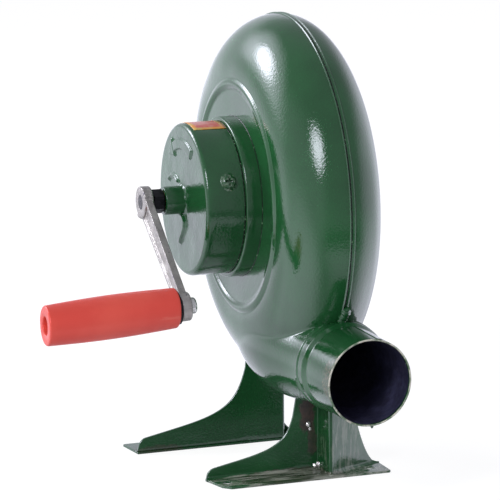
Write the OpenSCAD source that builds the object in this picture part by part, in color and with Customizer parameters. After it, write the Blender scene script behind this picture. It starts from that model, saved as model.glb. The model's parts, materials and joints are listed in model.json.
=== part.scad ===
// Hand crank forge blower: a pressed sheet-steel fan housing on two bent feet, with a
// gear drum, crank and turning grip on its front and a round outlet pipe at its foot.
// The origin lies on the bench, midway between the two bolt holes of the foot below the
// outlet. +X runs out of the outlet, -Y is the crank side and +Z is up.

/* [Fan housing] */
// Height of the fan axis above the bench
axis_h = 195; // [185:1:215]
// Radius of the pressed shells at the seam
shell_r = 129.6; // [124:0.2:134]
// Sideways offset of the shells' centre from the fan axis, away from the outlet
shell_off_x = 2.2; // [0:0.1:5]
// Drop of the shells' centre below the fan axis
shell_off_z = 2.8; // [0:0.1:5]
// Depth of the front shell from the seam to its flat panel
front_depth = 37.5; // [34:0.5:42]
// Depth of the rear shell from the seam to its flat panel
rear_depth = 34; // [34:0.5:42]
// Radial width of the curved band between panel and seam
band_w = 45; // [38:1:48]
// Thickness of the pressed sheet
sheet = 1.2; // [0.8:0.1:1.6]
// Radius of the ring bead pressed into each panel
ring_r = 80; // [74:0.5:81]
// Height of the ring bead
ring_h = 1.5; // [0.8:0.1:2]
// Width of the crimped seam bead
seam_w = 4.2; // [3:0.1:6]
// Height of the crimped seam bead
seam_h = 1.8; // [1.4:0.1:2.6]
// Radius of the air intake in the rear shell
intake_r = 41; // [30:1:48]

/* [Outlet] */
// Outside diameter of the outlet pipe
pipe_d = 60; // [56:1:66]
// Wall of the outlet pipe
pipe_wall = 1.2; // [0.8:0.1:2]
// Length of the pipe from the end of the pressed duct to its mouth
pipe_len = 55.5; // [45:0.5:75]
// Rise of the pipe's axis above the lowest point of the shells' circle
pipe_rise = 28.4; // [27:0.2:32]
// Distance from the end of the pressed duct to the shells' furthest point
duct_tuck = 24.4; // [20:0.2:29]
// Swell of the duct's radius where the scroll feeds it
duct_swell = 6.4; // [4:0.2:7]
// Length of the bell that slips over the duct's neck
bell_len = 13; // [10:0.5:16]

/* [Feet] */
// Thickness of the feet's sheet
foot_sheet = 1.8; // [1.5:0.1:2.5]
// Distance from the fan axis to the outlet foot's web
foot_x = 43; // [40:1:50]
// Distance from the fan axis to the far foot's web
far_foot_x = 43; // [38:1:50]
// Width of the feet's bolting flanges
flange_w = 26; // [22:1:32]
// Reach of the outlet foot in front of the seam
foot_front = 78; // [70:1:90]
// Reach of the outlet foot behind the seam
foot_back = 53; // [48:1:60]
// Reach of the far foot in front of the seam
far_front = 101; // [90:1:110]
// Reach of the far foot behind the seam
far_back = 37; // [30:1:50]
// Radius of the bolt holes
hole_r = 3.3; // [2.5:0.1:4.5]
// Distance of each bolt hole from its end of the flange
hole_inset = 12; // [9:0.5:16]

/* [Gear drum] */
// Radius of the gear base
base_r = 57; // [56:0.1:60]
// Height of the gear base
base_h = 12.5; // [11:0.5:14]
// Radius of the gear cover
cover_r = 54; // [52.6:0.1:55]
// Height of the gear cover
cover_h = 28; // [27:0.5:32]
// Wall of the gear cover and base
drum_wall = 1.6; // [1.2:0.1:2]
// Radius of the cover's rounded edge
cover_edge = 2.6; // [2.4:0.1:4]

/* [Gears] */
// Module of the gears
gear_m = 1; // [0.8:0.01:1.02]
// Teeth of each large gear
big_teeth = 43; // [39:1:43]
// Teeth of each pinion
small_teeth = 11; // [11:1:12]
// Thickness of the gears
gear_w = 6; // [4:0.5:7]

/* [Crank] */
// Throw of the crank from its shaft to the grip's pin
crank_throw = 103; // [80:1:120]
// Angle of the crank below level when at rest
crank_angle = 34.5; // [0:0.5:90]
// Diameter of the crank shaft
crank_shaft_d = 10; // [8:0.5:12]
// Outside diameter of the crank's bearing boss
boss_d = 20; // [17:0.5:24]
// Length of the boss in front of the cover
boss_len = 15; // [8:0.2:18]
// Diameter of the crank's hub
hub_d = 22.5; // [20:0.5:28]
// Thickness of the crank's hub
hub_w = 7; // [6:0.5:12]
// Thickness of the crank arm
arm_w = 5.4; // [4:0.2:6.6]
// Width of the arm at the hub
arm_wide = 17; // [12:0.5:19]
// Width of the arm at the grip
arm_narrow = 12.5; // [8:0.5:15]

/* [Grip] */
// Length of the grip
grip_len = 92; // [80:1:120]
// Diameter of the grip at its ends
grip_d = 27.5; // [22:0.5:32]
// Swell of the grip's radius at its middle
grip_swell = 1.2; // [0:0.1:3]
// Diameter of the pin that the grip turns on
pin_d = 8; // [6:0.5:9]
// Droop of the pin towards its free end
pin_droop = 3.2; // [0:0.2:5]

/* [Fan] */
// Radius of the impeller
fan_r = 98; // [80:1:100]
// Number of blades
blades = 8; // [6:1:12]
// Depth of the blades
blade_h = 30; // [20:1:31]
// Diameter of the fan shaft
fan_shaft_d = 8; // [7:0.5:9]

/* [Hidden] */
$fn = 96;

// Overrun of cutting shapes, clearance of running fits and gap of seated curved faces
over = 1;
run_gap = 0.05;
seat_gap = 0.05;
free_gap = 0.3;

// Pieces of a curve on the shells, the duct, the grip and the feet
band_steps = 16;
duct_steps = 16;
grip_steps = 16;
foot_steps = 16;

// Outlet sizes that follow from the pipe
pipe_r = pipe_d / 2;
neck_r = pipe_r + 0.6 * pipe_wall;
bell_r = neck_r + pipe_wall + seat_gap;
duct_x = shell_r - shell_off_x - duct_tuck;
mouth_x = duct_x + pipe_len;
outlet_drop = shell_r + shell_off_z - pipe_rise;
duct_peak_x = 0.3 * duct_x;
duct_nose_x = -0.6 * duct_x;
neck_len = bell_len - sheet;

// Foot sizes that follow from the flange and the pipe
hole_x = foot_x + 0.54 * flange_w;
far_hole_x = far_foot_x + 0.54 * flange_w;
line_mid = (foot_back - foot_front) / 2;
rib_out = 0.77 * flange_w;
rib_front = 0.24 * pipe_r;
rib_back = 0.92 * foot_back;
foot_neck_front = 0.34 * pipe_r;
foot_neck_back = 0.85 * pipe_r;
far_neck_front = 0.52 * pipe_r;
far_neck_back = 0.46 * pipe_r;

// Shares that shape a flare: its start, then two control points outwards, two up, and its end
flare_start_share = 0.7;
toe_share = [0.01, 0.26, 0.17, 0.2, 0.055];
heel_share = [0.16, 0.54, 0.48, 0.01, 0.02];
far_toe_share = [0.1, 0.3, 0.24, 0.26, 0.073];
far_heel_share = [0.01, 0.1, 0.1, 0.01, 0.02];

// Stack of the gear drum, measured forward from the seam plane
base_z = front_depth;
base_plate = 2.5 * drum_wall;
cover_z = base_z + base_h;
cover_top = cover_z + cover_h;
rear_gear_z = cover_z + 1.6 * drum_wall;
front_gear_z = rear_gear_z + 1.4 * gear_w;
gear_mid_gap = front_gear_z - rear_gear_z - gear_w;

// Gear geometry: centre distance, tooth heights, pressure angle and thinning per flank
gear_dist = gear_m * (big_teeth + small_teeth) / 2;
gear_add = 0.9 * gear_m;
gear_ded = 1.15 * gear_m;
pressure_angle = 25;
gear_thin = 0.12 * gear_m;
tooth_steps = 6;
idler_angle = 201;
idler_pin_d = 0.5 * crank_shaft_d;
gear_hub_r = 1.3 * idler_pin_d;

// Screw places round the drum
screw_first = 21;
screw_count = 3;
lug_half_angle = 12;
lug_t = 5 * gear_m;
cover_inner = cover_r - drum_wall;
screw_z = cover_z + 0.4 * cover_h;
screw_d = 4 * gear_m;
screw_head_d = 2.45 * screw_d;
screw_head_h = 0.5 * screw_d;

// Carrier of the fan shaft
bush_r = fan_shaft_d / 2 + 3 * sheet;
carrier_r = bush_r + 3 * sheet;
carrier_flange_r = 1.8 * carrier_r;
carrier_flange_t = 2.5 * sheet;
carrier_back = 0.4 * front_depth;
carrier_front = cover_z + run_gap;
bush_len = 10 * sheet;
carrier_screw_r = 0.8 * carrier_flange_r;

// Crank stack in front of the cover
boss_back = cover_top - 0.33 * cover_h;
boss_front = cover_top + boss_len;
nut_z = boss_front + free_gap;
nut_h = 0.84 * crank_shaft_d;
nut_wide = 1.5 * crank_shaft_d;
hub_z = nut_z + nut_h + 3 * free_gap;
hub_mid = hub_z + hub_w / 2;
shaft_front = hub_z + hub_w;
shaft_back = front_gear_z - free_gap;
bush_wall = 0.2 * crank_shaft_d;
set_r = 0.25 * crank_shaft_d;
set_angle = 240;
collar_z = front_gear_z + gear_w;
collar_h = boss_back - collar_z - free_gap;

// Lower end of the arm and the grip's pin
eye_d = 0.88 * hub_d;
pin_front = hub_z + hub_w;
washer_t = 1.5;
washer_r = 0.42 * grip_d;
rivet_d = 1.4 * pin_d;
rivet_h = 0.55 * pin_d;
front_seat = washer_r * sin(pin_droop) + run_gap;
back_seat = hub_w / cos(pin_droop) + rivet_d / 2 * sin(pin_droop) + run_gap;
grip_back = front_seat + washer_t + run_gap;
grip_bore_r = pin_d / 2 + 2 * run_gap;
grip_socket_d = 12.5;
grip_socket_len = 0.16 * grip_len;
clip_t = 0.2 * pin_d;

// Fan stack behind the carrier
fan_disc_z = 0.24 * front_depth;
fan_disc_t = 1.25 * sheet;
fan_hub_r = 13 * sheet;
fan_hub_flange_r = 20 * sheet;
fan_hub_flange_t = 2.5 * sheet;
fan_hub_back = -0.2 * rear_depth;
washer_h = 0.8 * sheet;
fan_hub_front = carrier_back - run_gap - washer_h;
fan_nut_h = 0.8 * fan_shaft_d;
fan_root_share = 0.36;
blade_curve_share = 0.75;
blade_t = sheet;
foot_tab_w = 7 * sheet;
fan_root = fan_root_share * fan_r;
fan_tip = fan_r - 2 * sheet;
blade_bend = blade_curve_share * fan_r;
bend_centre = [(fan_root + fan_tip) / 2, -sqrt(pow(blade_bend, 2) - pow((fan_tip - fan_root) / 2, 2))];
rivet_r = 1.5 * sheet;

// Places

module at_fan() {
    translate([-hole_x, -line_mid, axis_h]) rotate([90, 0, 0]) children();
}

module at_shell() {
    translate([-shell_off_x, -shell_off_z, 0]) children();
}

module at_duct(x) {
    translate([x, -outlet_drop, 0]) rotate([0, 90, 0]) children();
}

module at_idler(z) {
    rotate(idler_angle) translate([gear_dist, 0, z]) children();
}

module at_crank_end(z) {
    rotate(-crank_angle) translate([crank_throw, 0, z]) children();
}

module at_pin(z) {
    at_crank_end(pin_front) rotate(crank_angle) rotate([pin_droop, 0, 0]) translate([0, 0, z]) children();
}

// General shapes

module tube(h, r_out, r_in) {
    difference() {
        cylinder(h = h, r = r_out);
        translate([0, 0, -over]) cylinder(h = h + 2 * over, r = r_in);
    }
}

function bezier(p, t) =
    pow(1 - t, 3) * p[0] + 3 * t * pow(1 - t, 2) * p[1] + 3 * t * t * (1 - t) * p[2] + pow(t, 3) * p[3];

// Shells

// One bowl: a flat panel with a quarter-ellipse band round it, grown inwards by inset
module bowl(depth, inset) {
    edge_r = shell_r - band_w;
    a = band_w - inset;
    b = depth - inset;
    rotate_extrude() polygon(concat(
        [[0, 0], [0, b]],
        [for (i = [0 : band_steps]) let (t = 90 * i / band_steps) [edge_r + a * sin(t), b * cos(t)]]
    ));
}

// Outline of the pressed duct, [along, radius]: a blunt nose inside the scroll, then a
// fall from the swelled peak to the neck
duct_outline = concat(
    [for (i = [1 : duct_steps]) let (turn = 90 * i / duct_steps)
        [duct_peak_x + (duct_nose_x - duct_peak_x) * cos(turn), (neck_r + duct_swell) * sin(turn)]],
    [for (i = [1 : duct_steps]) let (t = i / duct_steps)
        [duct_peak_x + (duct_x - duct_peak_x) * t, neck_r + duct_swell * (1 + cos(180 * t)) / 2]]
);

// The pressed duct as a solid of revolution about its own level axis
module duct(inset) {
    at_duct(0) rotate_extrude() polygon(concat(
        [[0, duct_outline[0][0]]],
        [for (p = duct_outline) [p[1] - inset, p[0]]],
        [[neck_r - inset, duct_x + neck_len], [0, duct_x + neck_len]]
    ));
}

// The bowl stops short of the bell, which is tucked under the scroll's edge
module housing_solid(depth, inset) {
    difference() {
        at_shell() bowl(depth, inset);
        bell_room();
    }
    duct(inset);
}

module bell_room() {
    at_duct(duct_x) cylinder(h = mouth_x - duct_x, r = bell_r + seat_gap);
}

// Plan of the seam: the shells' circle and the duct's outline, grown by the bead
module seam_plan(grow) {
    last = len(duct_outline) - 1;
    at_shell() circle(r = shell_r + grow);
    translate([0, -outlet_drop]) polygon(concat(
        [for (p = duct_outline) [p[0], p[1] + grow]],
        [for (i = [last : -1 : 0]) [duct_outline[i][0], -duct_outline[i][1] - grow]]
    ));
}

// Half the width of the seam, from z upwards, open where the bell passes
module seam_strip(z, grow) {
    difference() {
        translate([0, 0, z]) linear_extrude(seam_w / 2) seam_plan(grow);
        bell_room();
    }
}

module ring_bead(depth, inset) {
    bead_r = 1.8 * ring_h;
    translate([0, 0, depth + ring_h - bead_r]) rotate_extrude() translate([ring_r, 0]) circle(r = bead_r - inset);
}

module front_half_space() {
    big = 2 * (shell_r + mouth_x);
    translate([-big / 2, -big / 2, 0]) cube([big, big, big]);
}

module front_shell() color("darkgreen") at_fan() {
    lip = seam_h - 0.7 * sheet;
    difference() {
        union() {
            intersection() {
                union() {
                    housing_solid(front_depth, 0);
                    ring_bead(front_depth, 0);
                }
                front_half_space();
            }
            seam_strip(0, seam_h);
        }
        housing_solid(front_depth, sheet);
        ring_bead(front_depth, sheet);
        translate([0, 0, -over]) cylinder(h = front_depth + 2 * over, r = carrier_r + free_gap);
        rivet_places() translate([0, 0, front_depth - 2 * sheet]) cylinder(h = 4 * sheet, r = 1.2 * rivet_r);
    }
    difference() {
        seam_strip(-seam_w / 2, seam_h);
        translate([0, 0, -seam_w]) linear_extrude(2 * seam_w) seam_plan(lip);
    }
}

module rear_shell() color("darkgreen") at_fan() mirror([0, 0, 1]) {
    lip = seam_h - 0.7 * sheet - seat_gap;
    lip_r = intake_r + 2.5 * sheet;
    difference() {
        union() {
            intersection() {
                union() {
                    housing_solid(rear_depth, 0);
                    ring_bead(rear_depth, 0);
                }
                front_half_space();
            }
            seam_strip(0, lip);
            translate([0, 0, rear_depth]) rotate_extrude() translate([lip_r, 0]) circle(r = 1.6 * sheet);
        }
        housing_solid(rear_depth, sheet);
        ring_bead(rear_depth, sheet);
        translate([0, 0, -over]) cylinder(h = rear_depth + 2 * intake_r, r = intake_r);
    }
}

module outlet_pipe() color("darkgreen") at_fan() {
    bell_in = neck_r + seat_gap;
    step = 2 * sheet;
    at_duct(duct_x + seat_gap) rotate_extrude() polygon([
        [bell_in, 0],
        [bell_r, 0],
        [bell_r, bell_len],
        [pipe_r, bell_len + step],
        [pipe_r, mouth_x - duct_x - seat_gap],
        [pipe_r - pipe_wall, mouth_x - duct_x - seat_gap],
        [pipe_r - pipe_wall, bell_len + step - pipe_wall],
        [bell_in, bell_len - pipe_wall],
    ]);
}

// Feet

// Side outline of a web: a straight neck that flares down to a long toe and a short heel
function flare(neck, reach, top, share) = concat([[neck, top]], [
    for (i = [0 : foot_steps]) let (t = i / foot_steps, run = reach - neck) [
        bezier([neck, neck + share[0] * run, neck + share[1] * run, reach], t),
        bezier([flare_start_share * top, share[2] * top, share[3] * top, share[4] * top], t)
    ]
]);

function turned_back(points) = [for (i = [len(points) - 1 : -1 : 0]) [-points[i][0], points[i][1]]];

// Drawn with the front of the blower towards -y and z up, then stood up across the foot
module web_side(front, back, neck_front, neck_back, top, toe_shares, heel_shares) {
    toe = flare(neck_front, front, top, toe_shares);
    heel = flare(neck_back, back, top, heel_shares);
    rotate([90, 0, 90]) linear_extrude(4 * flange_w, center = true) polygon(concat(
        [for (p = toe) [-p[0], p[1]]],
        [[-front, 0], [back, 0]],
        [for (i = [foot_steps + 1 : -1 : 0]) heel[i]]
    ));
}

// Plan of the bent web: flat in front, then a folded rib that comes out and runs back in
module web_plan(front, back, rib) {
    t = foot_sheet;
    corner = rib_front + 0.25 * rib;
    polygon([
        [0, -front], [t, -front], [t, rib_front - t],
        [rib + t, corner - t], [rib + t, corner], [t, rib_back], [t, back],
        [0, back], [0, rib_back - t],
        [rib, corner], [0, rib_front]
    ]);
}

module flange_plan(front, back) {
    chamfer = 3 * foot_sheet;
    polygon([
        [0, -front], [flange_w - chamfer, chamfer - front], [flange_w, 2 * chamfer - front],
        [flange_w, back - 0.2 * chamfer], [flange_w - 0.2 * chamfer, back], [0, back]
    ]);
}

// A foot in its own place: x runs outwards from the web, y runs back, z up from the bench
module foot(front, back, neck_front, neck_back, top, hole, toe_shares, heel_shares) {
    difference() {
        union() {
            linear_extrude(foot_sheet) flange_plan(front, back);
            intersection() {
                linear_extrude(top) web_plan(front, back, rib_out);
                web_side(front, back, neck_front, neck_back, top, toe_shares, heel_shares);
            }
        }
        for (y = [hole_inset - front, back - hole_inset])
            translate([hole, y, -over]) cylinder(h = foot_sheet + 2 * over, r = hole_r);
    }
}

module housing_outside() {
    at_fan() {
        at_shell() bowl(front_depth, -seat_gap);
        mirror([0, 0, 1]) at_shell() bowl(rear_depth, -seat_gap);
        duct(-seat_gap);
        translate([0, 0, -seam_w / 2 - seat_gap]) linear_extrude(seam_w + 2 * seat_gap) seam_plan(seam_h + seat_gap);
    }
}

module outlet_foot() color("darkgreen") difference() {
    translate([foot_x - hole_x, -line_mid, 0])
        foot(foot_front, foot_back, foot_neck_front, foot_neck_back, axis_h - outlet_drop,
            hole_x - foot_x, toe_share, heel_share);
    housing_outside();
}

module far_foot() color("darkgreen") difference() {
    translate([-far_foot_x - hole_x, -line_mid, 0]) mirror([1, 0, 0])
        foot(far_front, far_back, far_neck_front, far_neck_back, axis_h - outlet_drop,
            far_hole_x - far_foot_x, far_toe_share, far_heel_share);
    housing_outside();
}

// Gear drum

module screw_places() {
    for (i = [0 : screw_count - 1]) rotate(screw_first + 360 * i / screw_count) children();
}

module gear_base() color("darkgreen") at_fan() difference() {
    union() {
        translate([0, 0, base_z]) cylinder(h = base_h, r = base_r);
        intersection() {
            translate([0, 0, cover_z - over])
                tube(screw_z + screw_d - cover_z + over, cover_inner - seat_gap, cover_inner - lug_t);
            screw_places() rotate(-lug_half_angle) translate([0, 0, base_z])
                rotate_extrude(angle = 2 * lug_half_angle) square([base_r, base_h + cover_h]);
        }
    }
    translate([0, 0, base_z + base_plate]) cylinder(h = base_h, r = cover_inner - lug_t);
    translate([0, 0, base_z - over]) cylinder(h = base_h, r = carrier_r + seat_gap);
    at_idler(base_z - over) cylinder(h = base_h, r = idler_pin_d / 2);
    screw_places() translate([cover_inner - lug_t - over, 0, screw_z]) rotate([0, 90, 0])
        cylinder(h = lug_t + 2 * over, r = screw_d / 2);
    rivet_places() translate([0, 0, base_z - over]) cylinder(h = base_h, r = 1.2 * rivet_r);
    carrier_places() translate([0, 0, base_z - over]) cylinder(h = base_h, r = screw_d / 2);
}

module gear_cover() color("darkgreen") at_fan() difference() {
    union() {
        translate([0, 0, cover_z]) rotate_extrude() drum_profile(cover_r, cover_h, cover_edge);
        arrow_band();
    }
    translate([0, 0, cover_z]) rotate_extrude()
        drum_profile(cover_inner, cover_h - drum_wall, cover_edge - drum_wall);
    translate([0, 0, cover_z]) cylinder(h = cover_h + over, r = boss_d / 2 + seat_gap);
    screw_places() translate([cover_inner - lug_t, 0, screw_z]) rotate([0, 90, 0])
        cylinder(h = 2 * lug_t, r = screw_d / 2 + seat_gap);
}

// Half section of a cup's outside with a rounded upper edge
module drum_profile(r, h, edge) {
    square([r, h - edge]);
    square([r - edge, h]);
    translate([r - edge, h - edge]) circle(r = edge);
}

// Raised turning arrow pressed into the top of the cover's face
module arrow_band() {
    arrow_h = 0.35 * drum_wall;
    inner = 0.67 * cover_r;
    outer = 0.8 * cover_r;
    mid = (inner + outer) / 2;
    start = 62;
    end = 118;
    head = 1.1 * (outer - inner);
    translate([0, 0, cover_top - drum_wall / 2]) linear_extrude(drum_wall / 2 + arrow_h) {
        intersection() {
            difference() {
                circle(r = outer);
                circle(r = inner);
            }
            polygon([[0, 0], 2 * cover_r * [cos(start), sin(start)], 2 * cover_r * [cos(end), sin(end)]]);
        }
        rotate(end) translate([mid, 0])
            polygon([[head, -seat_gap], [-head, -seat_gap], [0, 1.6 * head]]);
    }
}

module crank_boss() color("darkgreen") at_fan() translate([0, 0, boss_back])
    tube(boss_front - boss_back, boss_d / 2, crank_shaft_d / 2 + bush_wall + seat_gap);

module crank_bush() color("peru") at_fan() translate([0, 0, boss_back])
    tube(boss_front - boss_back, crank_shaft_d / 2 + bush_wall, crank_shaft_d / 2 + run_gap);

module cross_recess(d, depth) {
    arm = 0.16 * d;
    for (turn = [0, 90]) rotate(turn) translate([-0.3 * d, -arm / 2, -depth]) cube([0.6 * d, arm, depth + over]);
}

module cover_screws() color("gray") at_fan() screw_places()
    translate([cover_r + seat_gap, 0, screw_z]) rotate([0, 90, 0]) difference() {
        union() {
            translate([0, 0, -lug_t]) cylinder(h = lug_t, r = screw_d / 2 - seat_gap);
            rotate_extrude() intersection() {
                drum_profile(screw_head_d / 2, screw_head_h, 0.7 * screw_head_h);
                square([screw_head_d, screw_head_h]);
            }
        }
        translate([0, 0, screw_head_h]) cross_recess(screw_head_d, 0.6 * screw_head_h);
    }

module rivet_places() {
    for (i = [0 : 3]) rotate(45 + 90 * i) translate([0.72 * base_r, 0, 0]) children();
}

module base_rivets() color("gray") at_fan() rivet_places() {
    translate([0, 0, base_z - sheet]) cylinder(h = base_plate + sheet, r = 1.2 * rivet_r - seat_gap);
    translate([0, 0, base_z + base_plate]) cylinder(h = rivet_r, r = 2 * rivet_r);
}

module carrier_places() {
    for (i = [0 : 2]) rotate(30 + 120 * i) translate([carrier_screw_r, 0, 0]) children();
}

module shaft_carrier() color("gray") at_fan() difference() {
    union() {
        translate([0, 0, carrier_back]) cylinder(h = carrier_front - carrier_back, r = carrier_r);
        translate([0, 0, base_z + base_plate]) cylinder(h = carrier_flange_t, r = carrier_flange_r);
    }
    translate([0, 0, carrier_back - over])
        cylinder(h = carrier_front - carrier_back + 2 * over, r = fan_shaft_d / 2 + 2 * sheet);
    for (z = [carrier_back - over, carrier_front - bush_len])
        translate([0, 0, z]) cylinder(h = bush_len + over, r = bush_r);
    carrier_places() translate([0, 0, base_z]) cylinder(h = 2 * base_h, r = screw_d / 2);
}

module carrier_screws() color("gray") at_fan() carrier_places() {
    seat = base_z + base_plate + carrier_flange_t;
    translate([0, 0, base_z + seat_gap]) cylinder(h = seat - base_z, r = screw_d / 2 - seat_gap);
    translate([0, 0, seat]) difference() {
        cylinder(h = screw_head_h, r = 0.8 * screw_d);
        translate([0, 0, screw_head_h]) cross_recess(1.6 * screw_d, 0.6 * screw_head_h);
    }
}

module bush() tube(bush_len, bush_r - seat_gap / 2, fan_shaft_d / 2 + run_gap);

module front_bush() color("peru") at_fan() translate([0, 0, carrier_front - bush_len]) bush();

module rear_bush() color("peru") at_fan() translate([0, 0, carrier_back]) bush();

module idler_pin() color("gray") at_fan() at_idler(base_z) {
    length = front_gear_z + gear_w + free_gap + 2 * clip_t - base_z;
    cylinder(h = length, r = idler_pin_d / 2 - seat_gap);
    translate([0, 0, base_plate]) cylinder(h = rear_gear_z - free_gap - base_z - base_plate, r = idler_pin_d);
}

module idler_clip() color("gray") at_fan() at_idler(front_gear_z + gear_w + free_gap)
    tube(clip_t / 2, 1.1 * idler_pin_d, idler_pin_d / 2);

// Gears

function roll_angle(base, r) = sqrt(max(0, pow(r / base, 2) - 1));

function involute(base, r) = roll_angle(base, r) * 180 / PI - atan(roll_angle(base, r));

// One flank's points from root to tip, as turns from the tooth's middle line
module spur(teeth, width) {
    pitch = gear_m * teeth / 2;
    base = pitch * cos(pressure_angle);
    root = pitch - gear_ded;
    tip = pitch + gear_add;
    half = 90 / teeth - gear_thin / pitch * 90 / PI + involute(base, pitch);
    low = max(base, root);
    radii = [for (i = [0 : tooth_steps]) low + (tip - low) * i / tooth_steps];
    linear_extrude(width) polygon([
        for (k = [0 : teeth - 1]) let (mid = 360 * k / teeth) each concat(
            [root * [cos(mid - half), sin(mid - half)]],
            [for (r = radii) let (a = mid - half + involute(base, r)) r * [cos(a), sin(a)]],
            [for (i = [tooth_steps : -1 : 0]) let (r = radii[i], a = mid + half - involute(base, r))
                r * [cos(a), sin(a)]],
            [root * [cos(mid + half), sin(mid + half)]]
        )
    ]);
}

module big_gear(bore_r) {
    web_r = gear_m * big_teeth / 2 - 3 * gear_m;
    difference() {
        spur(big_teeth, gear_w);
        translate([0, 0, -over]) cylinder(h = gear_w + 2 * over, r = bore_r);
        for (z = [-over, 0.7 * gear_w])
            translate([0, 0, z]) tube(0.3 * gear_w + over, web_r, 0.5 * web_r);
    }
}

// A tooth of the driver points along the line of centres, and a space of the driven meets it
module crank_gear() color("silver") at_fan() translate([0, 0, front_gear_z]) rotate(idler_angle)
    big_gear(crank_shaft_d / 2 + seat_gap / 2);

module idler_pinion() color("silver") at_fan() at_idler(front_gear_z - gear_mid_gap) difference() {
    union() {
        translate([0, 0, gear_mid_gap]) rotate(180 + 180 / small_teeth) spur(small_teeth, gear_w);
        cylinder(h = gear_mid_gap, r = gear_hub_r);
    }
    translate([0, 0, -over]) cylinder(h = gear_mid_gap + gear_w + 2 * over, r = idler_pin_d / 2 + run_gap);
}

module idler_gear() color("silver") at_fan() at_idler(rear_gear_z) big_gear(idler_pin_d / 2 + run_gap);

module fan_pinion() color("silver") at_fan() translate([0, 0, rear_gear_z]) difference() {
    rotate(idler_angle) spur(small_teeth, gear_w);
    translate([0, 0, -over]) cylinder(h = gear_w + 2 * over, r = idler_pin_d / 2 + seat_gap / 2);
}

// Crank

module crank_shaft() color("dimgray") at_fan() translate([0, 0, shaft_back])
    cylinder(h = shaft_front - shaft_back, r = crank_shaft_d / 2);

module shaft_collar() color("dimgray") at_fan() translate([0, 0, collar_z])
    tube(collar_h, 0.9 * crank_shaft_d, crank_shaft_d / 2 + seat_gap / 2);

module hex_nut(h, across, bore_r) {
    difference() {
        cylinder(h = h, d = across / cos(30), $fn = 6);
        translate([0, 0, -over]) cylinder(h = h + 2 * over, r = bore_r, $fn = 64);
    }
}

module crank_nut() color("dimgray") at_fan() translate([0, 0, nut_z])
    hex_nut(nut_h, nut_wide, crank_shaft_d / 2 + seat_gap / 2);

// Plan of the arm between the two bosses
module arm_plan(wide, narrow) {
    polygon([[0, -wide / 2], [crank_throw, -narrow / 2], [crank_throw, narrow / 2], [0, wide / 2]]);
}

module crank_arm() color("silver") at_fan() difference() {
    groove = 0.22 * arm_w;
    rim = 0.16 * arm_wide;
    union() {
        translate([0, 0, hub_z]) cylinder(h = hub_w, r = hub_d / 2);
        at_crank_end(hub_z) cylinder(h = hub_w, r = eye_d / 2);
        rotate(-crank_angle) translate([0, 0, hub_mid - arm_w / 2]) difference() {
            linear_extrude(arm_w) arm_plan(arm_wide, arm_narrow);
            for (z = [arm_w - groove, -over]) translate([0, 0, z])
                linear_extrude(groove + over) arm_plan(arm_wide - 2 * rim, arm_narrow - 2 * rim);
        }
        rotate(-crank_angle) translate([0, 0, hub_mid - arm_w / 2])
            linear_extrude(arm_w) arm_plan(rim, 0.6 * rim);
    }
    translate([0, 0, hub_z - over]) cylinder(h = hub_w + 2 * over, r = crank_shaft_d / 2 + seat_gap / 2);
    at_pin(-3 * hub_w) cylinder(h = 6 * hub_w, r = pin_d / 2 + seat_gap / 2);
    translate([0, 0, hub_mid]) rotate(set_angle) rotate([0, 90, 0]) cylinder(h = hub_d, r = set_r);
}

module arm_set_screw() color("dimgray") at_fan() translate([0, 0, hub_mid]) rotate(set_angle) rotate([0, 90, 0])
    difference() {
        translate([0, 0, crank_shaft_d / 2 + seat_gap])
            cylinder(h = hub_d / 2 - crank_shaft_d / 2, r = set_r - seat_gap / 2);
        translate([-set_r, -0.2 * set_r, hub_d / 2 - 0.4 * set_r]) cube([2 * set_r, 0.4 * set_r, set_r]);
    }

// Grip and its pin

module grip_pin() color("gray") at_fan() at_pin(-back_seat)
    cylinder(h = back_seat + grip_back + grip_len - grip_socket_len + free_gap + 2 * clip_t, r = pin_d / 2);

module grip_washer() color("dimgray") at_fan() at_pin(front_seat)
    tube(washer_t, washer_r, pin_d / 2 + seat_gap / 2);

module grip_nut() color("silver") at_fan() at_pin(-back_seat - rivet_h) difference() {
    rotate_extrude() intersection() {
        translate([0, rivet_h]) mirror([0, 1]) drum_profile(rivet_d / 2, rivet_h, 0.4 * rivet_h);
        square([rivet_d, rivet_h]);
    }
}

module grip_clip() color("dimgray") at_fan()
    at_pin(grip_back + grip_len - grip_socket_len + free_gap)
        tube(clip_t, 0.72 * pin_d, pin_d / 2 + seat_gap / 2);

module grip() color("firebrick") at_fan() at_pin(grip_back) difference() {
    end = 0.8 * grip_swell + 2 * run_gap;
    rotate_extrude() polygon(concat(
        [[0, 0], [grip_d / 2 - end, 0]],
        [for (i = [0 : grip_steps]) let (t = i / grip_steps)
            [grip_d / 2 + grip_swell * sin(180 * t), end + (grip_len - 2 * end) * t]],
        [[grip_d / 2 - end, grip_len], [0, grip_len]]
    ));
    translate([0, 0, -over]) cylinder(h = grip_len + 2 * over, r = grip_bore_r);
    translate([0, 0, grip_len - grip_socket_len])
        cylinder(h = grip_socket_len + over, r = grip_socket_d / 2);
}

// Fan

module fan_shaft() color("dimgray") at_fan() {
    back = fan_hub_back - fan_nut_h - 2 * sheet;
    translate([0, 0, back]) cylinder(h = rear_gear_z - free_gap - back, r = fan_shaft_d / 2);
    translate([0, 0, rear_gear_z - free_gap]) cylinder(h = gear_w + 2 * free_gap, r = idler_pin_d / 2);
}

module fan_hub() color("silver") at_fan() difference() {
    union() {
        translate([0, 0, fan_hub_back]) cylinder(h = fan_hub_front - fan_hub_back, r = 0.55 * fan_hub_r);
        translate([0, 0, fan_disc_z - fan_hub_flange_t]) cylinder(h = fan_hub_flange_t, r = fan_hub_flange_r);
    }
    translate([0, 0, fan_hub_back - over])
        cylinder(h = fan_hub_front - fan_hub_back + 2 * over, r = fan_shaft_d / 2 + seat_gap / 2);
    hub_rivet_places() translate([0, 0, fan_disc_z - 2 * fan_hub_flange_t])
        cylinder(h = 3 * fan_hub_flange_t, r = rivet_r);
}

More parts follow.
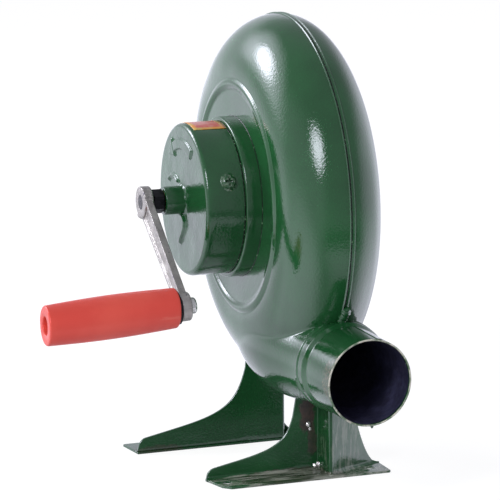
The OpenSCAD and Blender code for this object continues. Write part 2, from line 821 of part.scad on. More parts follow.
module hub_rivet_places() {
    for (i = [0 : 3]) rotate(90 * i) translate([0.78 * fan_hub_flange_r, 0, 0]) children();
}

// Plan of a blade, or of its tab: a strip t wide along the inside of an arc from root to tip
module blade_plan(t) {
    intersection() {
        translate(bend_centre) difference() {
            circle(r = blade_bend);
            circle(r = blade_bend - t);
        }
        translate([fan_root, -foot_tab_w]) square([fan_tip - fan_root, fan_r / 2]);
    }
}

module fan_disc() color("gainsboro") at_fan() difference() {
    translate([0, 0, fan_disc_z]) cylinder(h = fan_disc_t, r = fan_r);
    translate([0, 0, fan_disc_z - over]) cylinder(h = fan_disc_t + 2 * over, r = 0.55 * fan_hub_r + seat_gap);
    hub_rivet_places() translate([0, 0, fan_disc_z - over]) cylinder(h = fan_disc_t + 2 * over, r = rivet_r);
    blade_rivet_places() translate([0, 0, fan_disc_z - over]) cylinder(h = fan_disc_t + 2 * over, r = rivet_r);
}

module blade_rivet_places() {
    mid_r = blade_bend - (foot_tab_w + blade_t) / 2;
    for (i = [0 : blades - 1], turn = [-14, 14]) rotate(360 * i / blades)
        translate(bend_centre + mid_r * [sin(turn), cos(turn)]) children();
}

// Each blade stands on a tab that is riveted to the disc
module fan_blades() color("gainsboro") at_fan() difference() {
    for (i = [0 : blades - 1]) rotate(360 * i / blades) {
        translate([0, 0, fan_disc_z - blade_h]) linear_extrude(blade_h) blade_plan(blade_t);
        translate([0, 0, fan_disc_z - blade_t]) linear_extrude(blade_t) blade_plan(foot_tab_w);
    }
    blade_rivet_places() translate([0, 0, fan_disc_z - blade_h]) cylinder(h = 2 * blade_h, r = rivet_r);
}

module fan_rivets() color("gray") at_fan() {
    head = 0.8 * rivet_r;
    hub_rivet_places() {
        translate([0, 0, fan_disc_z - fan_hub_flange_t - head]) cylinder(h = head, r = 1.8 * rivet_r);
        translate([0, 0, fan_disc_z - fan_hub_flange_t])
            cylinder(h = fan_hub_flange_t + fan_disc_t, r = rivet_r - seat_gap);
        translate([0, 0, fan_disc_z + fan_disc_t]) cylinder(h = head, r = 1.8 * rivet_r);
    }
    blade_rivet_places() {
        translate([0, 0, fan_disc_z - blade_t - head]) cylinder(h = head, r = 1.6 * rivet_r);
        translate([0, 0, fan_disc_z - blade_t]) cylinder(h = blade_t + fan_disc_t, r = rivet_r - seat_gap);
        translate([0, 0, fan_disc_z + fan_disc_t]) cylinder(h = head, r = 1.8 * rivet_r);
    }
}

module fan_washer() color("gray") at_fan() translate([0, 0, fan_hub_front])
    tube(washer_h, 0.5 * fan_hub_r, fan_shaft_d / 2 + seat_gap);

module fan_nut() color("gray") at_fan() translate([0, 0, fan_hub_back - fan_nut_h])
    hex_nut(fan_nut_h, 1.6 * fan_shaft_d, fan_shaft_d / 2 + seat_gap / 2);

front_shell();
rear_shell();
outlet_pipe();
outlet_foot();
far_foot();
gear_base();
gear_cover();
crank_boss();
crank_bush();
cover_screws();
base_rivets();
shaft_carrier();
carrier_screws();
front_bush();
rear_bush();
idler_pin();
idler_clip();
crank_shaft();
crank_gear();
shaft_collar();
crank_nut();
crank_arm();
arm_set_screw();
grip_pin();
grip_washer();
grip_nut();
grip_clip();
grip();
idler_gear();
idler_pinion();
fan_shaft();
fan_pinion();
fan_hub();
fan_disc();
fan_blades();
fan_rivets();
fan_washer();
fan_nut();
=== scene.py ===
import json
import math

import bpy
import numpy as np
from mathutils import Matrix, Vector


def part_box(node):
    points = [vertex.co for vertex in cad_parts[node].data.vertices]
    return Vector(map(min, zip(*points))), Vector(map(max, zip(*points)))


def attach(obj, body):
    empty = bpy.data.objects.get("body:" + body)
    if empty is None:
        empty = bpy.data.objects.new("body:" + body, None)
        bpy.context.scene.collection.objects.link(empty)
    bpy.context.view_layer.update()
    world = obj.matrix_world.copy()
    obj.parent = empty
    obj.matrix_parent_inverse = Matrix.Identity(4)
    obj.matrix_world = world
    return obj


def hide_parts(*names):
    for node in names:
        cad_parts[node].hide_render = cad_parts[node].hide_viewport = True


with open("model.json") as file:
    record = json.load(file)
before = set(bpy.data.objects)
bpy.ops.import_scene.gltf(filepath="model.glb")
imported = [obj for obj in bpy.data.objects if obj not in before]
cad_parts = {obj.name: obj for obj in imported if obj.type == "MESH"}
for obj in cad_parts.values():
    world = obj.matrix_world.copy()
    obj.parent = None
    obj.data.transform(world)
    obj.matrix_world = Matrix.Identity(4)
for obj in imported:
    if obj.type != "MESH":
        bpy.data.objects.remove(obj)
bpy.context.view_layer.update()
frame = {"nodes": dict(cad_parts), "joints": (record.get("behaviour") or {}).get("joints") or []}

# Studio
# White sweeps to the left, in front and behind, a dimmer room on the camera's side, and a
# softbox on each side of the crank. The floor is white paper that keeps the blower's shadow.

image_px = 500
focal_px = 2700.0
sensor_mm = 36.0
camera_azimuth = math.radians(70.4)
camera_elevation = math.radians(11.0)
camera_roll = math.radians(-0.45)
camera_distance = 1.933
fan_axis_px = (286.3, 192.4)
joint_at = {joint["name"]: Vector(joint["pos_m"]) for joint in frame["joints"]}
joint_axis = {joint["name"]: Vector(joint["axis"]) for joint in frame["joints"]}
fan_axis = joint_at["fan_turn"]
scene = bpy.context.scene


def add_object(name, data):
    thing = bpy.data.objects.new(name, data)
    scene.collection.objects.link(thing)
    return thing


def aim_camera():
    """The photograph's camera, placed by the pixel at which it sees the fan axis."""
    sin_a, cos_a = math.sin(camera_azimuth), math.cos(camera_azimuth)
    sin_e, cos_e = math.sin(camera_elevation), math.cos(camera_elevation)
    back = Vector((sin_a * cos_e, -cos_a * cos_e, sin_e))
    level = Vector((cos_a, sin_a, 0))
    upright = back.cross(level)
    right = math.cos(camera_roll) * level + math.sin(camera_roll) * upright
    up = back.cross(right)
    aside = (fan_axis_px[0] - image_px / 2) / focal_px * camera_distance
    above = (image_px / 2 - fan_axis_px[1]) / focal_px * camera_distance
    data = bpy.data.cameras.new("camera")
    data.sensor_width = sensor_mm
    data.lens = focal_px / image_px * sensor_mm
    camera = add_object("camera", data)
    camera.matrix_world = Matrix((right, up, back)).transposed().to_4x4()
    camera.location = fan_axis + back * camera_distance - right * aside - up * above
    scene.camera = camera


def feed(node, inputs):
    """Gives a node's inputs their values, or links them to other nodes' sockets."""
    for key, value in inputs.items():
        if isinstance(value, bpy.types.NodeSocket):
            node.id_data.links.new(value, node.inputs[key])
        else:
            node.inputs[key].default_value = value


def configure(thing, settings):
    for key, value in settings.items():
        setattr(thing, key, value)


def put(tree, kind, inputs=None, **settings):
    """Adds a node: settings are its own options, inputs are what feed takes."""
    node = tree.nodes.new(kind)
    configure(node, settings)
    feed(node, inputs or {})
    return node


def calc(tree, operation, *inputs):
    return put(tree, "ShaderNodeMath", dict(enumerate(inputs)), operation=operation).outputs[0]


def vector_calc(tree, operation, output, *inputs):
    return put(tree, "ShaderNodeVectorMath", dict(enumerate(inputs)), operation=operation).outputs[output]


def mix(tree, mask, low, high):
    return put(tree, "ShaderNodeMix", {"Factor": mask, 6: low, 7: high}, data_type="RGBA").outputs[2]


def ramp(tree, value, low, high, start=0.0, end=1.0):
    return put(tree, "ShaderNodeMapRange", {
        "Value": value, "From Min": low, "From Max": high, "To Min": start, "To Max": end,
    }, interpolation_type="SMOOTHSTEP").outputs[0]


def blank_tree(owner):
    owner.use_nodes = True
    owner.node_tree.nodes.clear()
    return owner.node_tree


def studio_group():
    """What each direction looks like in a reflection: bright sweeps to the left, in front and
    behind, a darker room on the camera's side, and both softboxes. Ambient is the room alone."""
    tree = bpy.data.node_groups.new("studio_glow", "ShaderNodeTree")
    tree.interface.new_socket("Direction", in_out="INPUT", socket_type="NodeSocketVector")
    tree.interface.new_socket("Color", in_out="OUTPUT", socket_type="NodeSocketColor")
    tree.interface.new_socket("Ambient", in_out="OUTPUT", socket_type="NodeSocketColor")
    given = put(tree, "NodeGroupInput")

    def lobe(axis, start, end, low, high):
        along = vector_calc(tree, "DOT_PRODUCT", "Value", given.outputs[0], axis)
        return ramp(tree, along, start, end, low, high)

    def plus(a, b):
        return calc(tree, "ADD", a, b)

    def times(a, b):
        return calc(tree, "MULTIPLY", a, b)

    up, down, right = (0, 0, 1), (0, 0, -1), (1, 0, 0)
    left_box, right_box = (-0.70, -0.57, 0.43), (0.50, -0.70, 0.50)
    left = times(lobe((-0.96, -0.25, 0.0), 0.60, 0.80, 0.0, 0.92), lobe(up, 0.38, 0.47, 1.0, 0.0))
    left = times(left, lobe(down, 0.185, 0.27, 1.0, 0.58))
    left = times(left, lobe(up, -0.10, 0.10, 1.0, 0.45))
    front = times(lobe((0.0, -1.0, 0.0), 0.50, 0.92, 0.0, 0.50), lobe(up, 0.35, 0.75, 1.0, 0.2))
    behind = times(lobe((-0.1, 0.98, -0.15), 0.55, 0.95, 0.0, 1.4), lobe(up, 0.25, 0.7, 1.0, 0.25))
    below = plus(lobe((-0.1, -0.8, -0.55), 0.72, 0.97, 0.0, 1.2),
                 lobe((0.1, 0.75, -0.62), 0.78, 0.97, 0.0, 0.9))
    dark = plus(lobe(down, 0.19, 0.24, -0.04, 0.36), lobe(down, 0.31, 0.42, 0.0, -1.0))
    dark = times(dark, lobe(right, 0.5, 0.85, 0.0, 1.0))
    room = plus(plus(plus(left, front), plus(behind, below)), 0.58)
    room = calc(tree, "SUBTRACT", room, dark)
    halo = plus(lobe(left_box, 0.884, 0.900, 0.0, 0.5), lobe(left_box, 0.90, 0.98, 0.0, 2.2))
    halo = times(halo, lobe(up, 0.06, 0.24, 0.0, 1.0))
    total = plus(plus(room, halo), lobe(left_box, 0.974, 0.998, 0.0, 13.0))
    total = plus(total, lobe(right_box, 0.962, 0.990, 0.0, 15.0))
    out = put(tree, "NodeGroupOutput")
    for name, value, strength in (("Color", total, 1.0), ("Ambient", room, 0.72)):
        tint = put(tree, "ShaderNodeVectorMath", {
            0: (0.97 * strength, 0.97 * strength, 1.12 * strength), "Scale": value,
        }, operation="SCALE")
        feed(out, {name: tint.outputs[0]})
    return tree


studio_glow = studio_group()


def light_room():
    """White for the camera, and the studio's glow for every other ray."""
    world = bpy.data.worlds.new("studio")
    tree = blank_tree(world)
    where = put(tree, "ShaderNodeTexCoord")
    glow = put(tree, "ShaderNodeGroup", {"Direction": where.outputs["Generated"]}, node_tree=studio_glow)
    path = put(tree, "ShaderNodeLightPath")
    round_about = mix(tree, path.outputs["Is Glossy Ray"], glow.outputs["Ambient"], glow.outputs["Color"])
    seen = mix(tree, path.outputs["Is Camera Ray"], round_about, (1, 1, 1, 1))
    light = put(tree, "ShaderNodeBackground", {"Color": seen, "Strength": 1.0})
    put(tree, "ShaderNodeOutputWorld", {"Surface": light.outputs[0]})
    scene.world = world


def softbox(name, place, target, size, watts):
    """A lamp that lights the enamel. Its mirror image is drawn by the studio's glow."""
    data = bpy.data.lights.new(name, "AREA")
    data.shape = "RECTANGLE"
    data.size, data.size_y = size
    data.energy = watts
    lamp = add_object(name, data)
    lamp.location = place
    lamp.rotation_euler = (Vector(target) - Vector(place)).to_track_quat("-Z", "Y").to_euler()
    lamp.visible_glossy = False


def lay_floor():
    """White paper for the camera, a little darker in the blower's shadow. In the enamel it
    mirrors as the same glow as the studio round it."""
    reach = 6.0
    mesh = bpy.data.meshes.new("floor")
    mesh.from_pydata([(-reach, -reach, 0), (reach, -reach, 0), (reach, reach, 0), (-reach, reach, 0)], [],
                     [(0, 1, 2, 3)])
    floor = add_object("floor", mesh)
    material = bpy.data.materials.new("floor_paper")
    tree = blank_tree(material)
    path = put(tree, "ShaderNodeLightPath")
    place = put(tree, "ShaderNodeNewGeometry")
    onward = put(tree, "ShaderNodeVectorMath", {0: place.outputs["Incoming"], "Scale": -1.0},
                 operation="SCALE")
    glow = put(tree, "ShaderNodeGroup", {"Direction": onward.outputs[0]}, node_tree=studio_glow)
    white = mix(tree, path.outputs["Is Camera Ray"], glow.outputs["Color"], (1.25, 1.25, 1.25, 1))
    lit = calc(tree, "MAXIMUM", path.outputs["Is Camera Ray"], path.outputs["Is Glossy Ray"])
    shine = put(tree, "ShaderNodeEmission", {"Color": white, "Strength": lit})
    paper = put(tree, "ShaderNodeBsdfDiffuse", {"Color": (0.8, 0.8, 0.8, 1)})
    share = put(tree, "ShaderNodeMapRange", {"Value": lit, "To Min": 1.0, "To Max": 0.0})
    kept = calc(tree, "MULTIPLY_ADD", path.outputs["Is Camera Ray"], 0.3, share.outputs[0])
    both = put(tree, "ShaderNodeMixShader", {"Fac": kept, 1: shine.outputs[0], 2: paper.outputs[0]})
    put(tree, "ShaderNodeOutputMaterial", {"Surface": both.outputs[0]})
    mesh.materials.append(material)


aim_camera()
light_room()
lay_floor()
softbox("left_softbox", (-1.45, -1.33, 1.15), fan_axis, (0.75, 0.75), 17)
softbox("right_softbox", (1.08, -1.58, 1.26), fan_axis, (0.42, 0.80), 18)
scene.view_settings.view_transform = "Standard"

# Front shell
# One pressed sheet-steel half of the scroll, sprayed with glossy green enamel. Its edge
# is folded over the rear half's in a crimped seam that carries on along the outlet duct.

sheet = 0.0012
shell_radius = 0.1296
shell_off_x = 0.0022
shell_off_z = 0.0028
front_depth = fan_axis.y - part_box("gear_base")[1].y
rear_depth = 0.033
band_width = 0.045
ring_radius = 0.080
ring_half = 0.0034
ring_reach = 0.0036
ring_height = 0.0017
band_start = 0.0845
outlet_drop = 0.104
duct_end = 0.103
duct_peak = 0.3 * duct_end
duct_nose = -0.6 * duct_end
duct_swell = 0.0064
neck_radius = 0.03072
crease_round = 0.0013
seam_half = 0.0021
seam_height = 0.0018
outline_low = math.radians(-34.2)
outline_high = math.radians(307.6)
turn_steps = 640
seam_steps = 620
band_rings = 75
halvings = 42


def bowl_gap(x, y, z, depth):
    """Below zero inside one bowl: a flat panel with a quarter-ellipse band round it."""
    r = np.hypot(x + shell_off_x, y + shell_off_z)
    past = np.maximum(r - (shell_radius - band_width), 0) / band_width
    return (np.hypot(past, z / depth) - 1) * depth


def duct_radius(x):
    """A blunt nose inside the scroll, then a fall from the swelled peak to the neck."""
    nose = np.sqrt(np.clip(1 - ((duct_peak - x) / (duct_peak - duct_nose)) ** 2, 0, 1))
    fall = np.clip((x - duct_peak) / (duct_end - duct_peak), 0, 1)
    ahead = neck_radius + duct_swell * (1 + np.cos(np.pi * fall)) / 2
    return np.where(x < duct_peak, (neck_radius + duct_swell) * nose, ahead)


def duct_gap(x, y, z, end):
    gap = np.hypot(y + outlet_drop, z) - duct_radius(x)
    return np.maximum(gap, np.maximum(duct_nose - x, x - end))


def housing_gap(x, y, z, depth, end=1.0):
    """The two forms joined by a small round in the crease between them."""
    a, b = bowl_gap(x, y, z, depth), duct_gap(x, y, z, end)
    near = np.maximum(crease_round - np.abs(a - b), 0) / crease_round
    return np.minimum(a, b) - near ** 2 * crease_round / 4


def solve(inside, outside, gap):
    """Bisection, for whole arrays at once, of the place where gap turns positive."""
    low, high = np.array(inside, float), np.array(outside, float)
    for _ in range(halvings):
        middle = (low + high) / 2
        within = gap(middle) < 0
        low, high = np.where(within, middle, low), np.where(within, high, middle)
    return (low + high) / 2


def outline_radius(turn, depth):
    """Reach of the seam's plan from the fan axis, cut off just inside the bell."""
    end = duct_end + 0.003
    return solve(0 * turn + 0.06, 0 * turn + 0.2,
                 lambda r: housing_gap(r * np.cos(turn), r * np.sin(turn), 0, depth, end))


def to_world(x, y, z):
    """From the fan's own axes (right, up, towards the crank) to the part's frame."""
    return np.stack([x + fan_axis.x, 0 * x + fan_axis.y - z, y + fan_axis.z], axis=-1)


def shell_surface(depth, inner_rings, bumps, side):
    """Rings of points from the panel's hole out to the seam, all round."""
    turn = np.linspace(0, 2 * np.pi, turn_steps, endpoint=False)
    edge = outline_radius(turn, depth)
    knee = inner_rings[-1]
    outer = np.sin(np.linspace(0, np.pi / 2, band_rings + 1)[1:])
    radii = np.concatenate([
        np.repeat(np.array(inner_rings)[:, None], turn_steps, axis=1),
        knee + (edge - knee)[None, :] * outer[:, None],
    ])
    x, y = radii * np.cos(turn), radii * np.sin(turn)
    z = solve(0 * x, 0 * x + 0.06, lambda h: housing_gap(x, y, h, depth))
    z[-1] = np.where(housing_gap(x[-1], y[-1], 0.0005, depth) > 0, 0, z[-1])
    for bump in bumps:
        z = z + bump(radii)
    return to_world(x, y, z * side)


def open_sheet(points):
    return points, False, (False, False)


def closed_tube(points):
    return points, True, (False, False)


def build(name, islands, material, body, slot_name, *replaced, smooth=40, thick=0.0):
    """One mesh object from grids of points. Each island is (points, closed round, end caps)."""
    verts, faces = [], []
    for points, closed, caps in islands:
        rows, cols = points.shape[:2]
        first = len(verts)
        verts += [tuple(p) for p in points.reshape(-1, 3)]
        for i in range(rows - 1):
            for j in range(cols if closed else cols - 1):
                k = (j + 1) % cols
                faces.append((first + i * cols + j, first + i * cols + k,
                              first + (i + 1) * cols + k, first + (i + 1) * cols + j))
        if caps[0]:
            faces.append(tuple(first + j for j in range(cols))[::-1])
        if caps[1]:
            faces.append(tuple(first + (rows - 1) * cols + j for j in range(cols)))
    mesh = bpy.data.meshes.new(name)
    mesh.from_pydata(verts, [], faces)
    return finish_piece(name, mesh, material, body, replaced, smooth, thick)


def build_enamelled(name, islands, material, *replaced, smooth=40, thick=0.0):
    """A piece of the housing in green enamel."""
    return build(name, islands, material, "housing", "green_enamel", *replaced, smooth=smooth, thick=thick)


def modify(piece, name, kind, **settings):
    configure(piece.modifiers.new(name, kind), settings)


def finish_piece(name, mesh, material, body, replaced, smooth=40, thick=0.0):
    mesh.validate()
    mesh.materials.append(material)
    piece = add_object(name, mesh)
    mesh.shade_smooth()
    if thick:
        inward = -1 if thick > 0 else 1
        modify(piece, "wall", "SOLIDIFY", thickness=abs(thick), offset=inward, use_even_offset=True)
    mesh.set_sharp_from_angle(angle=math.radians(smooth))
    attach(piece, body)
    if replaced:
        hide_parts(*replaced)
    return piece


def ring_bump(centre, half, height):
    """A round ridge pressed into the panel at one radius."""
    def bump(radii):
        across = np.clip(np.abs(radii - centre) / half, 0, 1)
        return height * np.cos(across * np.pi / 2)
    return bump


def seam_strip(section):
    """A strip all along the seam; its section is given in halves of its width and height."""
    turn = np.linspace(outline_low, outline_high, seam_steps)
    reach = outline_radius(turn, front_depth)
    plan = np.stack([reach * np.cos(turn), reach * np.sin(turn)], axis=1)
    along = np.gradient(plan, axis=0)
    along /= np.linalg.norm(along, axis=1)[:, None]
    out = np.stack([along[:, 1], -along[:, 0]], axis=1)
    rows = []
    for across, height in section:
        lift = plan + out * (height * seam_height)
        rows.append(to_world(lift[:, 0], lift[:, 1], across * seam_half))
    return np.array(rows)


def linear(*srgb):
    """A colour given as it looks on a screen, 0 to 255, as the shader needs it."""
    return tuple(((c / 255 + 0.055) / 1.055) ** 2.4 if c > 10 else c / 3295 for c in srgb) + (1,)


def wavy_group():
    """Normal of a hand-sprayed coat on pressed sheet: broad waves and fine orange peel."""
    tree = bpy.data.node_groups.new("wavy_coat", "ShaderNodeTree")
    for name, kind, value in (("Wave Depth", "NodeSocketFloat", 0.3), ("Peel Depth", "NodeSocketFloat", 0.1),
                              ("Wave Scale", "NodeSocketFloat", 18), ("Peel Scale", "NodeSocketFloat", 620)):
        tree.interface.new_socket(name, in_out="INPUT", socket_type=kind).default_value = value
    tree.interface.new_socket("Normal", in_out="OUTPUT", socket_type="NodeSocketVector")
    given = put(tree, "NodeGroupInput")
    where = put(tree, "ShaderNodeTexCoord")
    out = put(tree, "NodeGroupOutput")
    for layer, detail, roughness, distance in (("Wave", 1.5, 0.45, 0.004), ("Peel", 2.0, 0.5, 0.0004)):
        grain = put(tree, "ShaderNodeTexNoise", {
            "Vector": where.outputs["Object"], "Scale": given.outputs[layer + " Scale"],
            "Detail": detail, "Roughness": roughness,
        })
        relief = put(tree, "ShaderNodeBump", {
            "Strength": given.outputs[layer + " Depth"], "Distance": distance, "Height": grain.outputs["Fac"],
        })
        if layer == "Peel":
            feed(relief, {"Normal": broad})
        broad = relief.outputs[0]
    feed(out, {"Normal": broad})
    return tree


wavy_coat = wavy_group()


def new_material(name):
    material = bpy.data.materials.new(name)
    tree = blank_tree(material)
    shader = put(tree, "ShaderNodeBsdfPrincipled")
    put(tree, "ShaderNodeOutputMaterial", {"Surface": shader.outputs[0]})
    return material, tree, shader


def noise(tree, scale, detail=3.0, roughness=0.5, stretch=(1, 1, 1), seed=0.0):
    where = put(tree, "ShaderNodeTexCoord")
    placed = put(tree, "ShaderNodeMapping", {
        "Vector": where.outputs["Object"], "Scale": stretch, "Location": (seed, seed, seed),
    })
    return put(tree, "ShaderNodeTexNoise", {
        "Vector": placed.outputs[0], "Scale": scale, "Detail": detail, "Roughness": roughness,
    }).outputs["Fac"]


def bump(tree, strength, distance, height):
    given = {"Strength": strength, "Distance": distance, "Height": height}
    return put(tree, "ShaderNodeBump", given).outputs[0]


def enamel(name, wave=0.35, peel=0.28, wave_scale=16.0):
    """Green enamel: deep colour with thin and thick patches, gloss that varies a little."""
    material, tree, shader = new_material(name)
    cloud = ramp(tree, noise(tree, 14, 4.0), 0.35, 0.65)
    coat = put(tree, "ShaderNodeGroup", {
        "Wave Depth": wave, "Peel Depth": peel, "Wave Scale": wave_scale,
    }, node_tree=wavy_coat)
    feed(shader, {
        "Base Color": mix(tree, cloud, linear(24, 74, 38), linear(32, 88, 47)),
        "Roughness": ramp(tree, noise(tree, 45, 5.0, seed=3.0), 0.4, 0.75, 0.06, 0.16),
        "Normal": coat.outputs["Normal"],
    })
    return material


def second_coat(name, *first):
    """Enamel whose colour is mixed further: what is needed to do so, the colour so far last."""
    material = enamel(name, *first)
    shader = material.node_tree.nodes["Principled BSDF"]
    return material, material.node_tree, shader, shader.inputs["Base Color"].links[0].from_socket


shell_enamel = enamel("shell_enamel")
carrier_hole = 0.012
front_rings = [carrier_hole, 0.03, 0.05, 0.066, 0.074]
ring_rings = [ring_radius + across * ring_reach for across in np.linspace(-1, 1, 15)] + [band_start]
front_rings += ring_rings
pressed_ring = ring_bump(ring_radius, ring_half, ring_height)
front_points = shell_surface(front_depth, front_rings, [pressed_ring], 1)
build_enamelled("front_shell_pressing", [closed_tube(front_points)], shell_enamel, "front_shell", thick=sheet)
crimp = [(1.35, -0.5), (1.22, 0.0), (1.18, 0.6), (1.08, 0.95), (0.92, 1.12), (0.74, 1.05), (0.60, 0.80),
         (0.2, 0.70), (-0.38, 0.74), (-0.50, 0.92), (-0.64, 1.08), (-0.80, 1.0), (-0.93, 0.62), (-0.99, 0.0),
         (-1.25, -0.5)]
build_enamelled("crimped_seam", [open_sheet(seam_strip(crimp))], shell_enamel)


def painted_shade_in_joints():
    """Painted shade: near black for the dark lines in the seam and the drum's joints, with pale specks of
    painted glint where the enamel would catch the light.
    """
    material, tree, shader = new_material("painted_shade_in_joints")
    painted_glint = ramp(tree, noise(tree, 520, 3.0, 0.55), 0.60, 0.66)
    shade_and_glints = mix(tree, painted_glint, linear(9, 13, 9), linear(110, 140, 110))
    feed(shader, {"Base Color": shade_and_glints, "Roughness": 0.4, "Specular IOR Level": 0.2})
    return material


joint_shade = painted_shade_in_joints()
# Painted shade in the seam's groove: a thin near-black strip along the crimp.
groove = [(0.56, 0.72), (0.50, 0.86), (0.24, 0.84), (0.18, 0.66)]
build_enamelled("seam_groove_shade", [open_sheet(seam_strip(groove))], joint_shade)

# Rear shell
# The other pressed half, a little shallower. Its flat panel has the round air intake
# with a rolled lip, through which the fan shows.

intake_radius = 0.041
lip_half = 0.0032


def intake_lip(radii):
    """The lip rises round the hole and its edge turns back in."""
    across = (radii - intake_radius) / lip_half
    return np.where(across < 2, 0.0019 * np.sqrt(np.clip(1 - (across - 1) ** 2, 0, 1)), 0)


rear_rings = [intake_radius + lip_half * (1 - math.cos(t)) for t in np.linspace(0, math.pi, 13)]
rear_rings += [0.052, 0.062, 0.072] + ring_rings
rear_points = shell_surface(rear_depth, rear_rings, [pressed_ring, intake_lip], -1)
build_enamelled("rear_shell_pressing", [closed_tube(rear_points[:, ::-1])], shell_enamel, "rear_shell",
                thick=sheet)

# Outlet pipe
# A rolled and lap-welded tube in the same enamel. Its bell slips over the duct's neck
# and is tacked on, and its far end is cut off square.

pipe_radius = 0.030
pipe_wall = 0.0012
bell_length = 0.013
pipe_low, pipe_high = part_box("outlet_pipe")
pipe_mouth = pipe_high.x
bell_radius = (pipe_high.z - pipe_low.z) / 2
pipe_axis_point = Vector((pipe_low.x, fan_axis.y, fan_axis.z - outlet_drop))


def rounded(points, radius, steps=5):
    """A section's corner points with each inner corner turned into a small arc."""
    points = [Vector(p) for p in points]
    out = [points[0]]
    for before, here, after in zip(points, points[1:], points[2:]):
        a, b = (before - here), (after - here)
        cut = min(radius, a.length * 0.45, b.length * 0.45)
        start, end = here + a.normalized() * cut, here + b.normalized() * cut
        for i in range(steps + 1):
            t = i / steps
            out.append(start * (1 - t) ** 2 + here * 2 * t * (1 - t) + end * t ** 2)
    return out + [points[-1]]


def lathe(section, origin, axis, up, steps=160):
    """Turns a section of (radius, height) points about an axis."""
    axis = Vector(axis).normalized()
    side = Vector(up).normalized()
    other = axis.cross(side)
    grid = np.zeros((len(section), steps, 3))
    for i, (r, h) in enumerate(section):
        for j in range(steps):
            a = 2 * math.pi * j / steps
            grid[i, j] = Vector(origin) + axis * h + (side * math.cos(a) + other * math.sin(a)) * r
    return grid


def turned(section, origin, axis, up, steps=160):
    return closed_tube(lathe(section, origin, axis, up, steps))


def round_pipe(section):
    return turned(section, pipe_axis_point, (1, 0, 0), (0, 0, 1))


pipe_len = pipe_mouth - pipe_low.x
pipe_section = [
    (bell_radius - pipe_wall, bell_length * 0.5), (bell_radius - pipe_wall, 0), (bell_radius + 0.0003, 0),
    (bell_radius + 0.0007, 0.0008), (bell_radius + 0.0005, 0.0020), (bell_radius - 0.0001, 0.0030),
    (bell_radius, bell_length * 0.78), (pipe_radius, bell_length * 1.12),
    (pipe_radius, pipe_len), (pipe_radius - pipe_wall, pipe_len),
    (pipe_radius - pipe_wall, bell_length * 1.3),
    (bell_radius - pipe_wall, bell_length * 0.9), (bell_radius - pipe_wall, bell_length * 0.5),
]


def patch(tree, centre, size, ragged=0.8, scale=120.0, seed=0.0):
    """Mask of a ragged spot: one within size of the centre, with a noisy edge."""
    where = put(tree, "ShaderNodeTexCoord")
    off = vector_calc(tree, "SUBTRACT", 0, where.outputs["Object"], tuple(centre))
    share = vector_calc(tree, "DIVIDE", 0, off, tuple(size))
    far = vector_calc(tree, "LENGTH", "Value", share)
    edge = calc(tree, "MULTIPLY_ADD", noise(tree, scale, 5.0, 0.6, seed=seed), ragged * 2, far)
    return ramp(tree, edge, 0.75 + ragged, 1.1 + ragged, 1.0, 0.0)


def pipe_coat():
    """The same enamel, sprayed thin near the mouth, where brown dust has stuck to it."""
    material, tree, shader, green = second_coat("pipe_coat", 0.35, 0.32)
    near_mouth = (pipe_mouth, fan_axis.y - pipe_radius, pipe_axis_point.z + 0.006)
    mouth = patch(tree, near_mouth, (0.012, 0.014, 0.016), 0.6, 150)
    dust = ramp(tree, noise(tree, 800, 4.0, 0.65), 0.44, 0.60, 0.0, 0.8)
    dusty = mix(tree, calc(tree, "MULTIPLY", mouth, dust), green, linear(112, 100, 84))
    feed(shader, {"Base Color": dusty, "Specular IOR Level": 0.44})
    return material


build_enamelled("outlet_pipe_tube", [round_pipe(rounded(pipe_section, 0.0008))], pipe_coat(), "outlet_pipe")


def dark_primer():
    """Bluish black inside the pipe and the duct, where only overspray has reached."""
    material, tree, shader = new_material("dark_primer")
    dust = ramp(tree, noise(tree, 90, 5.0, 0.6), 0.40, 0.70)
    feed(shader, {
        "Base Color": mix(tree, dust, linear(38, 38, 56), linear(58, 58, 82)),
        "Roughness": ramp(tree, noise(tree, 300, 3.0), 0.3, 0.7, 0.45, 0.65),
        "Specular IOR Level": 0.25,
    })
    return material


inside_r = pipe_radius - pipe_wall - 0.00015
duct_inside_r = inside_r - 0.0009
liner_reach = -0.06
liner_section = [(inside_r, pipe_len - 0.0012), (inside_r, bell_length * 1.35),
                 (duct_inside_r, bell_length * 1.25), (duct_inside_r, bell_length * 0.3),
                 (duct_inside_r, liner_reach)]
build_enamelled("pipe_inside", [round_pipe(liner_section)], dark_primer())


def worn_edge():
    """Enamel rubbed through to pale metal along a cut edge."""
    material, tree, shader = new_material("worn_edge")
    bare = ramp(tree, noise(tree, 230, 4.0, 0.6), 0.38, 0.60)
    edge = mix(tree, bare, linear(96, 120, 92), linear(206, 204, 188))
    feed(shader, {"Base Color": edge, "Roughness": 0.35})
    return material


def weld_bead(points, radius, seed, steps=14):
    """A lumpy bead of weld under the paint, laid along a line of points."""
    lumps = np.random.default_rng(seed)
    line = [Vector(p) for p in points]
    rows = []
    for i, here in enumerate(line):
        ahead = (line[min(i + 1, len(line) - 1)] - line[max(i - 1, 0)]).normalized()
        side = ahead.orthogonal().normalized()
        other = ahead.cross(side)
        end = min(i, len(line) - 1 - i)
        size = radius * (0.35 if end == 0 else 1.0) * (0.8 + 0.4 * lumps.random())
        ring = [here + (side * math.cos(t) + other * math.sin(t)) * size * (0.9 + 0.2 * lumps.random())
                for t in np.linspace(0, 2 * math.pi, steps, endpoint=False)]
        rows.append(ring)
    return np.array(rows), True, (True, True)


def on_pipe(turn, radius, along):
    """A point on a circle about the pipe's axis; turn runs from the top towards the back."""
    return pipe_axis_point + Vector((along, radius * math.sin(turn), radius * math.cos(turn)))


